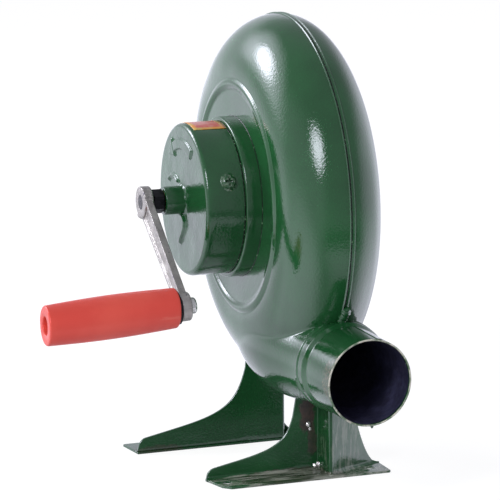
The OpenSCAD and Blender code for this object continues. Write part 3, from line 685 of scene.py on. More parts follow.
rim_ring = [(pipe_radius - pipe_wall / 2 + 0.00062 * math.cos(t), pipe_len + 0.0002 + 0.0005 * math.sin(t))
            for t in np.linspace(0, 2 * math.pi, 13)]
build_enamelled("pipe_rim", [round_pipe(rim_ring)], worn_edge(), smooth=180)
lap_turn = math.radians(14)
lap_section = ((-0.0022, -0.0003), (-0.0019, 0.00045), (0.0003, 0.0006), (0.0024, 0.0001), (0.0027, -0.0003))
lap_rows = []
for across, rise in lap_section:
    lap_rows.append([on_pipe(lap_turn + across / pipe_radius, pipe_radius + rise, d)
                     for d in np.linspace(bell_length * 1.05, pipe_len - 0.0002, 24)])
tack_radius = 0.0013
seam_bead_radius = 0.0030
tacks = []
for i, turn in enumerate((-1.9, -0.75, 0.10, 0.9, 2.3)):
    tacks.append(weld_bead([on_pipe(turn + a, bell_radius - 0.0002, -0.0004 + 0.0003 * math.sin(9 * a))
                            for a in np.linspace(-0.16, 0.16, 11)], tack_radius, 10 + i))
seam_end = np.linspace(math.radians(-35.0), math.radians(-28.0), 17)
seam_reach = outline_radius(seam_end, front_depth) + 0.0012
seam_line = to_world(seam_reach * np.cos(seam_end), seam_reach * np.sin(seam_end),
                     0.0008 * np.sin(40 * seam_end))
tacks.append(weld_bead(seam_line, seam_bead_radius, 31))
drip = [(0.0, 0.0), (0.0009, 0.0003), (0.0011, 0.0012), (0.0006, 0.0022), (0.0001, 0.0025)]
drip_start = on_pipe(math.radians(176), pipe_radius - 0.0005, pipe_len - 0.0012)
build_enamelled("pipe_seams", [open_sheet(np.array(lap_rows))] + tacks
                + [turned(drip, drip_start, (0, 0, -1), (1, 0, 0), 20)], shell_enamel, smooth=60)

# Gear base and cover
# The base is a thick spun ring on the front panel. The cover is a deep pressed cup that
# sits on it, held by screws through its side, with a turning arrow pressed into its face.

base_low, base_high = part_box("gear_base")
base_radius = (base_high.x - base_low.x) / 2
cover_low, cover_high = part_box("gear_cover")
cover_radius = (cover_high.x - cover_low.x) / 2
base_face = cover_high.y
base_height = base_high.y - base_face
cover_height = 0.028
boss_low, boss_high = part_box("crank_boss")
boss_radius = (boss_high.x - boss_low.x) / 2
drum_origin = Vector((fan_axis.x, base_face, fan_axis.z))
base_section = [
    (base_radius, -base_height), (base_radius, 0), (cover_radius - 0.001, 0), (cover_radius - 0.001, -0.003),
]


def round_crank(section, origin, steps):
    return turned(section, origin, (0, -1, 0), (0, 0, 1), steps)


build_enamelled("gear_base_ring", [round_crank(rounded(base_section, 0.0016), drum_origin, 220)],
                enamel("base_enamel", 0.2, 0.2), "gear_base")
cover_edge = 0.0032
arrow_inner, arrow_outer = 0.0360, 0.0432
arrow_tail, arrow_neck = 60, 118
arrow_head = 0.0105
hook_half, hook_height = 0.0024, 0.0017
rib_half, rib_height = 0.0027, 0.0021
fillet_run, fillet_height = 0.0011, 0.0016
hook_line = [(-0.0295, 0.0105), (-0.0260, 0.0130), (-0.0205, 0.0146), (-0.0150, 0.0142), (-0.0105, 0.0118)]
rib_line = [(-0.0045, -0.0106), (0.0015, -0.0108), (0.0048, -0.0145), (0.0045, -0.0190), (0.0008, -0.0240),
            (-0.0030, -0.0275), (-0.0050, -0.0310)]


def ridge(x, z, line, half, height):
    """A pressed rib along a line of points, round on top, with its foot run out softly."""
    near = np.full(x.shape, 1.0)
    for (x0, z0), (x1, z1) in zip(line, line[1:]):
        dx, dz = x1 - x0, z1 - z0
        along = np.clip(((x - x0) * dx + (z - z0) * dz) / (dx ** 2 + dz ** 2), 0, 1)
        near = np.minimum(near, np.hypot(x - x0 - along * dx, z - z0 - along * dz))
    return height * (1 + np.cos(np.pi * np.clip(near / half, 0, 1))) / 2


def plateau(inside, soft, height):
    """A raised flat whose edge rises over a soft width; inside is the depth within it."""
    return height * (1 - np.cos(np.pi * np.clip(inside / soft + 0.5, 0, 1))) / 2


def arrow_relief(x, z):
    """Turning arrow: an arc of band with its head at the left end."""
    r, turn = np.hypot(x, z), np.degrees(np.arctan2(z, x))
    middle = (arrow_inner + arrow_outer) / 2
    arc = np.minimum(np.minimum(r - arrow_inner, arrow_outer - r),
                     np.minimum(turn - arrow_tail, arrow_neck - turn) * np.pi / 180 * middle)
    ahead = (turn - arrow_neck) * np.pi / 180 * middle
    head = np.minimum(ahead, (arrow_head - ahead) * 0.62 - np.abs(r - middle) * 0.9)
    return plateau(np.maximum(arc, head), 0.0010, 0.0012)


def paint_fillet(x, z):
    """Thick enamel that has run into the corner round the boss."""
    r, turn = np.hypot(x, z), np.arctan2(z, x)
    uneven = 1 + 0.35 * np.sin(3 * turn + 0.6) + 0.2 * np.sin(7 * turn)
    return fillet_height * uneven * np.exp(-np.maximum(r - boss_radius, 0) / fillet_run)


def cover_surface():
    """Side, rounded edge and embossed face of the cup, as rings of points."""
    side_rings, edge_rings = 9, 8
    corner = cover_radius - cover_edge
    rings = [(cover_radius, h) for h in np.linspace(0, cover_height - cover_edge, side_rings)]
    rings += [(corner + cover_edge * math.cos(t), cover_height - cover_edge * (1 - math.sin(t)))
              for t in np.linspace(0, math.pi / 2, edge_rings + 1)[1:]]
    rings += [(r, cover_height) for r in np.linspace(corner, boss_radius - 0.0005, 96)[1:]]
    turn = np.linspace(0, 2 * np.pi, 400, endpoint=False)
    rows = []
    for i, (r, h) in enumerate(rings):
        x, z = r * np.cos(turn), r * np.sin(turn)
        lift = 0 * x
        if i >= side_rings + edge_rings:
            lift = np.maximum.reduce([arrow_relief(x, z), ridge(x, z, hook_line, hook_half, hook_height),
                                      ridge(x, z, rib_line, rib_half, rib_height)])
            lift = lift + paint_fillet(x, z)
        if i < side_rings:
            swell = 0.00025 * np.sin(5 * turn + 1.1) * i / side_rings
            x, z = x * (1 + swell / r), z * (1 + swell / r)
        rows.append(np.stack([x + fan_axis.x, 0 * x + base_face - h - lift, z + fan_axis.z], axis=-1))
    return np.array(rows)


build_enamelled("gear_cover_cup", [closed_tube(cover_surface())], enamel("cover_enamel", 0.25, 0.35, 40),
                "gear_cover", smooth=60)


def joint_ring(radius, height, half):
    section = [(radius - 0.0004, height - half), (radius + 0.0002, height - half * 0.6),
               (radius + 0.0002, height + half * 0.6), (radius - 0.0004, height + half)]
    return round_crank(section, drum_origin, 200)


# Near-black rings where the cover meets the base and the base meets the panel: painted shade in the joints.
build_enamelled("drum_joint_shade", [joint_ring(cover_radius + 0.0001, 0.0004, 0.00045),
                                joint_ring(base_radius + 0.0002, -base_height + 0.0008, 0.0009)], joint_shade)

# Cover screws
# Cross-recess pan-head screws hold the cover to lugs inside. They were sprayed over with
# the cover, and the enamel has filled the corner round each head.

screw_head = 0.0050
screw_rise = 0.0032
screws_low, screws_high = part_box("cover_screws")
screw_y = (screws_low.y + screws_high.y) / 2


def screw_surface(turn):
    """A domed head with a cross sunk into it, as rings of points round the screw's axis."""
    out = Vector((math.cos(turn), 0, math.sin(turn)))
    side = Vector((0, -1, 0))
    other = out.cross(side)
    centre = Vector((fan_axis.x, screw_y, fan_axis.z))
    spin = np.linspace(0, 2 * np.pi, 96, endpoint=False)
    rows = []
    rings = [(1.32, -0.10), (1.12, 0.03), (1.04, 0.16)]
    rings += [(math.cos(t) ** 0.55, 0.16 + 0.84 * math.sin(t)) for t in np.linspace(0.1, 1.45, 12)]
    rings += [(r, None) for r in np.linspace(0.52, 0.02, 18)]
    for r, h in rings:
        u, v = r * np.cos(spin + 0.5), r * np.sin(spin + 0.5)
        flat = 1.0 - 0.06 * r ** 2
        level = 0 * u + (flat if h is None else h)
        arm = np.minimum(np.abs(u), np.abs(v))
        reach = np.maximum(np.abs(u), np.abs(v))
        sunk = np.clip((0.15 - arm) / 0.07, 0, 1) * np.clip((0.60 - reach) / 0.12, 0, 1)
        level = level - 0.62 * sunk * (r < 0.7)
        rows.append([centre + out * (cover_radius + e * screw_rise) + (side * a + other * b) * screw_head
                     for a, b, e in zip(u, v, level)])
    return np.array(rows)


screw_islands = [(screw_surface(math.radians(21 + 120 * i)), True, (False, True)) for i in range(3)]


def steel(name, colour, rough=0.3, metal=1.0, grain=900, stretch=(1, 1, 1)):
    """Plated or bare metal: a slightly cloudy colour and fine scratches in the gloss."""
    material, tree, shader = new_material(name)
    cloud = ramp(tree, noise(tree, 60, 4.0), 0.3, 0.7)
    dark = tuple(c * 0.75 for c in colour[:3]) + (1,)
    fine = noise(tree, grain, 3.0, 0.6, stretch, 2.0)
    feed(shader, {
        "Base Color": mix(tree, cloud, colour, dark), "Metallic": metal,
        "Roughness": ramp(tree, fine, 0.3, 0.7, rough * 0.75, rough * 1.3),
        "Normal": bump(tree, 0.15, 0.0002, fine),
    })
    return material


def thin_coat():
    """Zinc-plated steel with a thin coat of the same green. Its pale patches are partly rubbed-through zinc
    and partly painted highlight, for the light on the head's rim and cross.
    """
    material, tree, shader, green = second_coat("thin_coat", 0.1, 0.2)
    # Pale patches: rubbed zinc together with painted highlight.
    rubbed_and_sheen = ramp(tree, noise(tree, 500, 3.0, 0.6), 0.42, 0.62, 0.0, 0.35)
    feed(shader, {"Base Color": mix(tree, rubbed_and_sheen, green, linear(150, 165, 148))})
    return material


build("cover_screw_heads", screw_islands, thin_coat(), "housing", "steel", "cover_screws", smooth=35)

# Sticker
# A plain rectangle of printed foil on the drum's top: an orange border round a washed-out
# red field. The real one's print isn't repeated.

sticker_turn = (math.radians(72), math.radians(99))
sticker_depth = (0.0505, 0.0748)
border_share = 0.13


def printed_foil():
    material, tree, shader = new_material("printed_foil")
    place = put(tree, "ShaderNodeUVMap", uv_map="foil")
    split = put(tree, "ShaderNodeSeparateXYZ", {0: place.outputs[0]})

    def inset(value):
        close = calc(tree, "MINIMUM", value, calc(tree, "SUBTRACT", 1.0, value))
        return ramp(tree, close, border_share * 0.8, border_share * 1.2)

    field = calc(tree, "MULTIPLY", inset(split.outputs["X"]), inset(split.outputs["Y"]))
    marked = ramp(tree, noise(tree, 260, 4.0, 0.6), 0.36, 0.66)
    red = mix(tree, marked, linear(206, 74, 62), linear(214, 128, 112))
    faded = ramp(tree, noise(tree, 180, 3.0, seed=4.0), 0.4, 0.7)
    border = mix(tree, faded, linear(228, 146, 52), linear(206, 178, 92))
    feed(shader, {"Base Color": mix(tree, field, border, red), "Roughness": 0.28})
    return material


foil_steps, foil_rows = 24, 8
foil_radius = cover_radius + 0.00035
foil_turn, foil_depth = np.meshgrid(np.linspace(*sticker_turn, foil_steps + 1),
                                    np.linspace(*sticker_depth, foil_rows + 1), indexing="ij")
foil = to_world(foil_radius * np.cos(foil_turn), foil_radius * np.sin(foil_turn), foil_depth)
sticker = build_enamelled("sticker_foil", [open_sheet(foil)], printed_foil(), thick=-0.0001).data
foil_layer = sticker.uv_layers.new(name="foil")
for loop in sticker.loops:
    step, row = divmod(loop.vertex_index, foil_rows + 1)
    foil_layer.data[loop.index].uv = (step / foil_steps, row / foil_rows)

# Outlet foot
# A sheet bent into an upright web and a bolting flange, with a sharp rib folded out of
# the web under the duct. Brushed with the same enamel, and rusty where it was tacked on.

foot_sheet = 0.0018
fold_round = 0.0016
flare_start = 0.7
toe_share = (0.01, 0.26, 0.17, 0.21, 0.088)
heel_share = (0.16, 0.54, 0.48, 0.01, 0.02)
far_toe_share = (0.1, 0.3, 0.24, 0.26, 0.115)
far_heel_share = (0.01, 0.1, 0.1, 0.01, 0.02)
rib_share = 0.77
rib_slope = 0.06
rib_place = {1: 0.24, -1: 0.44}
back_fold_share = 0.92
worn_corner = 0.00035
web_step = 0.0013
tip_round = 0.006
tip_height = 0.0022
lean = 0.0022
lean_height = 0.0026
web_rows = 26
hole_out = 0.01404
hole_in = 0.012
hole_radius = 0.0033
seam_plane = fan_axis.y
foot_low, foot_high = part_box("outlet_foot")
foot_back = foot_high.y - seam_plane
near_web = foot_low.x


def arc_corners(points, radius, steps=6):
    """A bent strip's plan: straight runs joined by small round folds."""
    return [(p.x, p.y) for p in rounded([(x, y, 0) for x, y in points], radius, steps)]


def resample(points, spacing):
    """The same line with its points at most one spacing apart."""
    out = [points[0]]
    for a, b in zip(points, points[1:]):
        count = max(1, math.ceil(math.dist(a, b) / spacing))
        out += [(a[0] + (b[0] - a[0]) * i / count, a[1] + (b[1] - a[1]) * i / count)
                for i in range(1, count + 1)]
    return out


def flare_height(y, neck, reach, top, share):
    """Height of the web's edge at y: a straight neck that flares down to the flange's end."""
    run = reach - neck
    t = np.linspace(0, 1, 200)
    spread = [neck, neck + share[0] * run, neck + share[1] * run, reach]
    fall = [flare_start * top, share[2] * top, share[3] * top, share[4] * top]
    weights = [(1 - t) ** 3, 3 * t * (1 - t) ** 2, 3 * t * t * (1 - t), t ** 3]
    along = sum(w * v for w, v in zip(weights, spread))
    height = sum(w * v for w, v in zip(weights, fall))
    return float(np.interp(y, along, height))


def housing_underside(x, y):
    """Height of the housing's lower surface over a point of the bench."""
    depth = front_depth if y < seam_plane else rear_depth
    from_axis, across = np.array([x - fan_axis.x]), np.array([abs(seam_plane - y)])
    under = solve([-outlet_drop * 0.97], [-0.2], lambda v: housing_gap(from_axis, v, across, depth))
    return fan_axis.z + float(under[0])


def bend_web(plan, front, back, neck_front, neck_back, side, web_x, toe, heel):
    """Points of the web's middle surface, from the bench up to the housing or the flare."""
    top = fan_axis.z - outlet_drop
    low = foot_sheet * 0.6
    columns = []
    for x, y in plan:
        world_x, world_y = web_x + side * x, seam_plane + y
        if y < -neck_front:
            limit = flare_height(-y, neck_front, front, top, toe)
        elif y > neck_back:
            limit = flare_height(y, neck_back, back, top, heel)
        else:
            limit = top
        tip = min(1.0, (front + y) / tip_round)
        limit = min(limit, tip_height + (limit - tip_height) * math.sqrt(max(0.0, 1 - (1 - tip) ** 2)))
        high = min(limit, housing_underside(world_x, world_y) + 0.0004)
        rows = []
        for v in np.linspace(0, 1, web_rows):
            z = low + max(high - low, 0.0003) * v ** 1.15
            out = lean * max(0, 1 - (z - low) / lean_height) ** 2
            rows.append((world_x + side * out, world_y, z))
        columns.append(rows)
    return np.array(columns).transpose(1, 0, 2)


def cut_plate(outline, holes, z, thickness, soft):
    """A flat plate with round holes and slightly worn edges, as a mesh."""
    curve = bpy.data.curves.new("plate", "CURVE")
    curve.dimensions = "2D"
    curve.fill_mode = "BOTH"
    curve.extrude = thickness / 2 - soft
    curve.bevel_depth = soft
    curve.bevel_resolution = 2
    curve.offset = -soft
    rings = [outline]
    for cx, cy in holes:
        rings.append([(cx + hole_radius * math.cos(a), cy + hole_radius * math.sin(a))
                      for a in np.linspace(0, -2 * math.pi, 40, endpoint=False)])
    for ring in rings:
        spline = curve.splines.new("POLY")
        spline.points.add(len(ring) - 1)
        for point, (x, y) in zip(spline.points, ring):
            point.co = (x, y, 0, 1)
        spline.use_cyclic_u = True
    holder = add_object("plate", curve)
    bpy.context.view_layer.update()
    mesh = bpy.data.meshes.new_from_object(holder.evaluated_get(bpy.context.evaluated_depsgraph_get()))
    bpy.data.objects.remove(holder)
    mesh.transform(Matrix.Translation((0, 0, z)))
    return mesh


def make_foot(node, side, neck_front, neck_back, toe, heel, material):
    """Web, rib and flange of one foot: side is +1 for a flange towards the outlet."""
    low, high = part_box(node)
    front, back = seam_plane - low.y, high.y - seam_plane
    web_x = low.x if side > 0 else high.x
    flange = high.x - low.x
    rib = rib_share * flange
    rib_front = rib_place[side] * pipe_radius
    half = foot_sheet / 2
    corners = [(half, -front), (half, rib_front), (rib + half, rib_front + rib_slope * rib),
               (half, min(back_fold_share * foot_back, back - 0.002)), (half, back)]
    plan = resample(arc_corners(corners, fold_round), web_step)
    grid = bend_web(plan, front, back, neck_front, neck_back, side, web_x, toe, heel)
    web = build_enamelled(node + "_web", [open_sheet(grid)], material, node)
    modify(web, "wall", "SOLIDIFY", thickness=foot_sheet, offset=0, use_even_offset=True)
    modify(web, "edge", "BEVEL", width=worn_corner, segments=2, limit_method="ANGLE",
           angle_limit=math.radians(60))
    chamfer = 3 * foot_sheet
    y0, y1 = seam_plane - front, seam_plane + back
    nose = [(0, y0), (flange - chamfer, y0 + chamfer), (flange, y0 + 2 * chamfer)]
    if side < 0:
        nose = [(0, y0), (flange - 0.001, y0 - 0.0035), (flange, y0 - 0.0025)]
    outline = nose + [(flange, y1 - 0.2 * chamfer), (flange - 0.2 * chamfer, y1), (0, y1)]
    outline = [(web_x + side * x, y) for x, y in outline]
    holes = [(web_x + side * hole_out, y0 + hole_in), (web_x + side * hole_out, y1 - hole_in)]
    plate = cut_plate(outline, holes, foot_sheet / 2, foot_sheet, 0.0004)
    finish_piece(node + "_flange", plate, material, "housing", (node,))


def foot_coat(name, spots, streaks):
    """The feet's enamel, burnt brown by welding in ragged spots, with pale streaks: rubbed wear on the
    flange, and painted reflection on the rib's rear face.
    """
    material, tree, shader, base = second_coat(name, 0.3, 0.3, 30)
    gloss = shader.inputs["Roughness"].links[0].from_socket
    for i, (centre, size, strength) in enumerate(spots):
        marked = calc(tree, "MULTIPLY", patch(tree, centre, size, 0.7, 160, seed=3.0 * i), strength)
        cloud = ramp(tree, noise(tree, 300, 4.0, 0.6), 0.35, 0.65)
        rust = mix(tree, cloud, linear(44, 33, 29), linear(66, 48, 41))
        base = mix(tree, marked, base, rust)
        gloss = calc(tree, "MULTIPLY_ADD", marked, 0.35, gloss)
    # Each streak mixes in a pale colour: rubbed wear, and on the rib's rear face a painted reflection.
    for i, (centre, size, stretch, strength) in enumerate(streaks):
        rubbed_and_sheen = ramp(tree, noise(tree, 420, 4.0, 0.6, stretch, 11.0 + i), 0.44, 0.62, 0.0, strength)
        marked = calc(tree, "MULTIPLY", rubbed_and_sheen, patch(tree, centre, size, 0.5, 90, seed=6.0 + i))
        base = mix(tree, marked, base, linear(172, 174, 162))
        gloss = calc(tree, "MULTIPLY_ADD", marked, 0.3, gloss)
    feed(shader, {"Base Color": base, "Roughness": gloss})
    return material


outlet_foot_coat = foot_coat("outlet_foot_coat", [
    ((near_web, seam_plane - 0.0015, 0.042), (0.010, 0.0062, 0.017), 0.95),
    ((near_web, seam_plane + 0.002, 0.022), (0.010, 0.0040, 0.012), 0.7),
    ((near_web + 0.012, seam_plane - 0.016, 0.001), (0.030, 0.044, 0.0035), 0.6),
], [
    ((near_web + 0.012, seam_plane - 0.024, 0.0012), (0.034, 0.060, 0.0024), (1, 0.10, 1), 0.75),
    # A pale streak on the rib's rear face: painted reflection.
    ((near_web + 0.012, seam_plane + 0.022, 0.018), (0.020, 0.016, 0.030), (1, 1, 0.14), 0.4),
    ((near_web + 0.024, seam_plane + 0.046, 0.002), (0.020, 0.016, 0.0040), (1, 0.3, 1), 0.8),
])
far_foot_coat = foot_coat("far_foot_coat", [
    ((-0.1, seam_plane - 0.085, 0.002), (0.02, 0.020, 0.004), 0.5),
    ((-0.1, seam_plane + 0.006, 0.060), (0.02, 0.012, 0.006), 0.6),
], [
    ((-0.12, seam_plane - 0.030, 0.0012), (0.018, 0.050, 0.0024), (1, 0.10, 1), 0.3),
])
make_foot("outlet_foot", 1, 0.34 * pipe_radius, 0.85 * pipe_radius, toe_share, heel_share, outlet_foot_coat)


def spatter(centre, size, seed):
    """A drop of weld metal on a sheet, sprayed over: a lumpy little dome."""
    lumps = np.random.default_rng(seed)
    rows = []
    for r, h in ((1.5, -0.2), (1.1, 0.25), (0.85, 0.7), (0.5, 1.0), (0.15, 1.12)):
        ring = []
        for t in np.linspace(0, 2 * math.pi, 12, endpoint=False):
            wide = r * (0.8 + 0.4 * lumps.random())
            rise = Vector((h * 0.9, wide * math.cos(t), 1.2 * wide * math.sin(t)))
            ring.append(Vector(centre) + rise * size)
        rows.append(ring)
    return np.array(rows), True, (False, True)


web_face = near_web + foot_sheet / 2
drops = [spatter((web_face, seam_plane - 0.0008, 0.0345), 0.0019, 3),
         spatter((web_face, seam_plane + 0.0006, 0.0312), 0.0014, 4),
         spatter((web_face + 0.002, seam_plane + 0.0074, 0.0046), 0.0019, 5),
         spatter((web_face + 0.001, seam_plane + 0.0044, 0.0036), 0.0013, 6)]
build_enamelled("weld_spatter", drops, steel("weld_metal", linear(214, 212, 206), 0.25, 0.7), smooth=180)
neck_top = [(web_face + 0.0002, seam_plane + y, housing_underside(near_web + 0.001, seam_plane + y) + 0.0002)
            for y in np.linspace(-0.0095, 0.0265, 24)]
build_enamelled("foot_weld", [weld_bead(neck_top, 0.0012, 21)], outlet_foot_coat, smooth=180)

# Far foot
# The same kind of bent sheet, turned the other way under the closed side of the scroll.
# It reaches further forward, where the crank's load falls.

make_foot("far_foot", -1, 0.52 * pipe_radius, 0.46 * pipe_radius, far_toe_share, far_heel_share,
          far_foot_coat)

# Crank boss, bush and nut
# The crank shaft's bearing tube stands out of the cover, sprayed with it. A black nut
# sits on the shaft between the boss and the crank's hub.

boss_length = boss_high.y - boss_low.y
boss_inside = boss_radius - 0.003
boss_section = [
    (boss_radius, 0), (boss_radius, boss_length), (boss_inside, boss_length),
    (boss_inside, boss_length * 0.5),
]
boss_origin = Vector((fan_axis.x, boss_high.y, fan_axis.z))
build_enamelled("crank_boss_tube", [round_crank(rounded(boss_section, 0.0007), boss_origin, 96)],
                enamel("boss_enamel", 0.1, 0.3), "crank_boss")
black_steel = steel("black_steel", linear(38, 38, 40), 0.35, 0.9)
bright_steel = steel("bright_steel", linear(190, 190, 192), 0.25)
bronze = steel("bronze", linear(170, 120, 70), 0.3)


def dress(looks):
    """Each CAD node that keeps its own mesh gets a finished material."""
    for node, material in looks.items():
        slots = frame["nodes"][node].data.materials
        for i in range(len(slots)):
            slots[i] = material
        if not len(slots):
            slots.append(material)


def hexagon_nut(low, high, bore):
    """A nut with its corners turned off at both ends, as rings of points within its box."""
    height = high.y - low.y
    across = (high.x - low.x) / 2 * math.cos(math.radians(30))
    centre = Vector(((low.x + high.x) / 2, high.y, (low.z + high.z) / 2))
    turn = np.linspace(0, 2 * math.pi, 96, endpoint=False)
    flat = across / np.cos((turn + math.pi / 6) % (math.pi / 3) - math.pi / 6)
    rows = []
    for h, limit in ((0, bore), (0, across * 0.97), (height * 0.09, across * 1.16),
                     (height * 0.91, across * 1.16), (height, across * 0.97), (height, bore)):
        r = np.minimum(flat, limit) if limit > bore else 0 * flat + bore
        rows.append([centre + Vector((a * math.cos(t), -h, a * math.sin(t))) for a, t in zip(r, turn)])
    return np.array(rows)


shaft_radius = 0.005
nut_rows = hexagon_nut(*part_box("crank_nut"), shaft_radius)
build("crank_nut_black", [closed_tube(nut_rows)], black_steel, "crank", "black_steel", "crank_nut", smooth=25)
dress({"crank_bush": bronze, "shaft_collar": black_steel,
       "crank_shaft": steel("oiled_steel", linear(34, 33, 32), 0.4, 0.4)})

# Crank arm
# A cast aluminium lever, left rough from the mould: hub, tapered arm with shallow
# channels, and an eye for the grip's pin. A set screw in the hub holds it on the shaft.

pin_start = joint_at["grip_turn"]
pin_axis = joint_axis["grip_turn"].normalized()
hub_front = pin_start.y
hub_width = 0.007
hub_radius = 0.01125
eye_radius = 0.0099
arm_thick = 0.0054
arm_half_wide = 0.0085
arm_half_narrow = 0.00625
arm_start = 0.0075
arm_end = 0.0065
bore_play = 0.0001
grip_pin_radius = 0.004
arm_reach = Vector((pin_start.x - fan_axis.x, 0, pin_start.z - fan_axis.z))
arm_along = arm_reach.normalized()
arm_across = Vector((-arm_along.z, 0, arm_along.x))
arm_front = Vector((0, -1, 0))


def ring_section(outer, inner, height, soft):
    """Closed section of a boss with a hole, its outer edges rounded."""
    h = height / 2
    corners = rounded([(inner, h), (outer, h), (outer, -h), (inner, -h)], soft, 4)
    return corners + [corners[0]]


def arm_section(u, half, thick):
    """Across the arm: rims along both edges and a shallow channel with a soft bottom."""
    rim, deep = 0.0021, 0.0013
    t, flank, bottom = thick / 2, half - rim, half - 1.5 * rim
    points = [(-half, -t), (-half, t), (-flank, t), (-bottom, t - deep), (bottom, t - deep), (flank, t),
              (half, t), (half, -t), (flank, -t), (bottom, -t + deep), (-bottom, -t + deep), (-flank, -t)]
    return [hub_centre + arm_along * u + arm_across * v + arm_front * w for v, w in points]


hub_centre = Vector((fan_axis.x, hub_front + hub_width / 2, fan_axis.z))
reach = arm_reach.length
body_rows = [arm_section(u, arm_half_wide + (arm_half_narrow - arm_half_wide) * u / reach, arm_thick)
             for u in np.linspace(arm_start, reach - arm_end, 30)]
hub_ring = ring_section(hub_radius, shaft_radius + bore_play, hub_width, 0.0009)
eye_ring = ring_section(eye_radius, grip_pin_radius + bore_play, hub_width, 0.0008)
eye_centre = pin_start - pin_axis * (hub_width / 2)
screw_turn = math.radians(240)
screw_out = Vector((math.cos(screw_turn), 0, math.sin(screw_turn)))
lug_section = [(0.0038, 0.007), (0.0036, 0.0125), (0.0031, 0.0130)]
arm_islands = [
    (np.array(body_rows), True, (True, True)),
    round_crank(hub_ring, hub_centre, 72),
    turned(eye_ring, eye_centre, pin_axis, (1, 0, 0), 72),
    (lathe(lug_section, hub_centre, screw_out, (0, 1, 0), 40), True, (True, True)),
]


def cast_alloy():
    """Sand-cast aluminium: dull, pitted, a little brighter where hands have polished it."""
    material, tree, shader = new_material("cast_alloy")
    pits = noise(tree, 900, 4.0, 0.65)
    broad = ramp(tree, noise(tree, 90, 3.0, seed=5.0), 0.35, 0.65)
    grey = mix(tree, broad, linear(150, 147, 141), linear(176, 173, 166))
    spots = ramp(tree, noise(tree, 420, 2.0, seed=9.0), 0.62, 0.72)
    feed(shader, {
        "Base Color": mix(tree, spots, grey, linear(120, 118, 122)), "Metallic": 0.85,
        "Roughness": ramp(tree, pits, 0.3, 0.7, 0.36, 0.52), "Normal": bump(tree, 0.5, 0.0003, pits),
    })
    return material


crank_arm = build("crank_arm_casting", arm_islands, cast_alloy(), "crank", "cast_alloy", "crank_arm",
                  smooth=180)
modify(crank_arm, "melt", "REMESH", mode="VOXEL", voxel_size=0.00042, use_smooth_shade=True)
modify(crank_arm, "soften", "SMOOTH", factor=0.5, iterations=3)
dress({"arm_set_screw": black_steel})

# Grip
# A turned red plastic barrel on a steel pin. Its free end is bored out, and a ring at the
# bottom of the bore keeps it on. The pin is riveted over behind the arm's eye.

grip_start = 0.00225
grip_length = 0.092
grip_radius = 0.01375
grip_swell = 0.0012
grip_socket = 0.00625
grip_socket_depth = 0.0147
grip_bore = 0.0041


def barrel(length, radius, swell, soft):
    """The barrel's outer line, with both ends turned over by one soft radius."""
    corner = np.linspace(0, math.pi / 2, 7)
    line = [(radius - soft + soft * math.sin(a), soft - soft * math.cos(a)) for a in corner]
    line += [(radius + swell * math.sin(math.pi * t), soft + (length - 2 * soft) * t)
             for t in np.linspace(0, 1, 30)[1:-1]]
    return line + [(radius - soft + soft * math.cos(a), length - soft + soft * math.sin(a)) for a in corner]


def red_plastic():
    """Injection-moulded plastic with satin gloss, faint flow clouding and small scuffs."""
    material, tree, shader = new_material("red_plastic")
    cloud = ramp(tree, noise(tree, 30, 4.0), 0.35, 0.65)
    base = mix(tree, cloud, linear(222, 74, 60), linear(228, 84, 68))
    scuff = ramp(tree, noise(tree, 160, 5.0, 0.6, (1, 0.15, 1), 7.0), 0.66, 0.74, 0, 0.35)
    feed(shader, {
        "Base Color": mix(tree, scuff, base, linear(226, 120, 100)),
        "Roughness": ramp(tree, noise(tree, 220, 4.0), 0.3, 0.7, 0.34, 0.48),
        "Normal": bump(tree, 0.18, 0.0003, noise(tree, 700, 3.0, 0.5, (1, 0.4, 1))),
    })
    return material


socket_bottom = grip_length - grip_socket_depth
grip_section = [(grip_bore, 0.004), (grip_bore, 0)] + barrel(grip_length, grip_radius, grip_swell, 0.0016)
grip_section += [(grip_socket + 0.0008, grip_length), (grip_socket + 0.0002, grip_length - 0.0004),
                 (grip_socket, grip_length - 0.0012), (grip_socket, socket_bottom),
                 (grip_bore, socket_bottom), (grip_bore, socket_bottom - 0.005)]
grip_origin = pin_start + pin_axis * grip_start
build("grip_barrel", [turned(grip_section, grip_origin, pin_axis, (0, 0, 1), 128)], red_plastic(), "grip",
      "red_plastic", "grip", smooth=50)
zinc = steel("zinc_plate", linear(205, 206, 200), 0.28)
dress({"grip_pin": bright_steel, "grip_washer": black_steel, "grip_nut": zinc, "grip_clip": black_steel})

# Fan
# The impeller behind the air intake: a pressed disc with folded blades riveted on, a
# turned hub and a thrust washer and nut. Dust and oil have dulled the sheet.


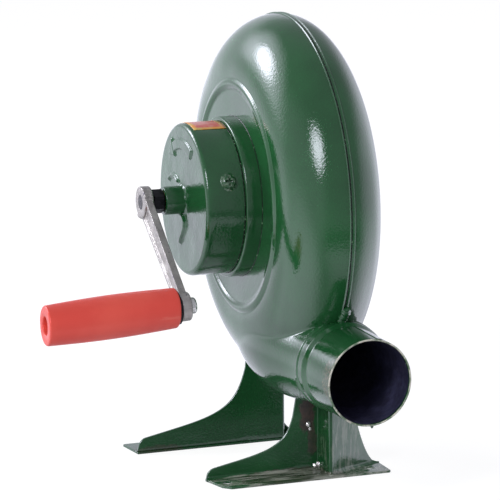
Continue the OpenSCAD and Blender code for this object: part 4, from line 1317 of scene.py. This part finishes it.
def dusty_sheet():
    """Mill-finish sheet aluminium with rolling lines and a grey film of dust."""
    material, tree, shader = new_material("dusty_sheet")
    film = ramp(tree, noise(tree, 70, 5.0, 0.6, seed=2.0), 0.35, 0.70)
    lines = noise(tree, 500, 3.0, 0.6, (1, 1, 0.06), 4.0)
    feed(shader, {
        "Base Color": mix(tree, film, linear(150, 152, 156), linear(104, 104, 102)), "Metallic": 0.8,
        "Roughness": ramp(tree, lines, 0.3, 0.7, 0.30, 0.55), "Normal": bump(tree, 0.2, 0.0002, lines),
    })
    return material


fan_sheet = dusty_sheet()
turned_steel = steel("turned_steel", linear(128, 128, 130), 0.32, 0.95, 600, (1, 0.1, 1))
dress({"fan_disc": fan_sheet, "fan_blades": fan_sheet, "fan_hub": turned_steel, "fan_washer": bright_steel,
       "fan_nut": zinc, "fan_shaft": turned_steel,
       "fan_rivets": steel("rivet_alloy", linear(176, 177, 180), 0.35)})

# Gear train and bearings
# Hidden in the drum: hobbed steel gears with a film of grease, bronze bushes in a
# turned carrier, and the fixings that hold the carrier and the base to the panel.


def greased_gear():
    """Hobbed steel with grease lying in the teeth."""
    material, tree, shader = new_material("greased_gear")
    grease = ramp(tree, noise(tree, 130, 4.0, 0.6), 0.42, 0.62)
    feed(shader, {
        "Base Color": mix(tree, grease, linear(140, 138, 134), linear(58, 46, 30)),
        "Metallic": ramp(tree, grease, 0.0, 1.0, 0.95, 0.35),
        "Roughness": ramp(tree, grease, 0.0, 1.0, 0.32, 0.14),
        "Normal": bump(tree, 0.3, 0.0003, grease),
    })
    return material


gear_steel = greased_gear()
dress({"crank_gear": gear_steel, "idler_gear": gear_steel, "idler_pinion": gear_steel,
       "fan_pinion": gear_steel, "front_bush": bronze, "rear_bush": bronze, "idler_pin": turned_steel,
       "idler_clip": black_steel, "carrier_screws": zinc,
       "shaft_carrier": steel("carrier_steel", linear(96, 96, 98), 0.38, 0.9),
       "base_rivets": steel("steel_rivets", linear(120, 120, 118), 0.4, 0.9)})
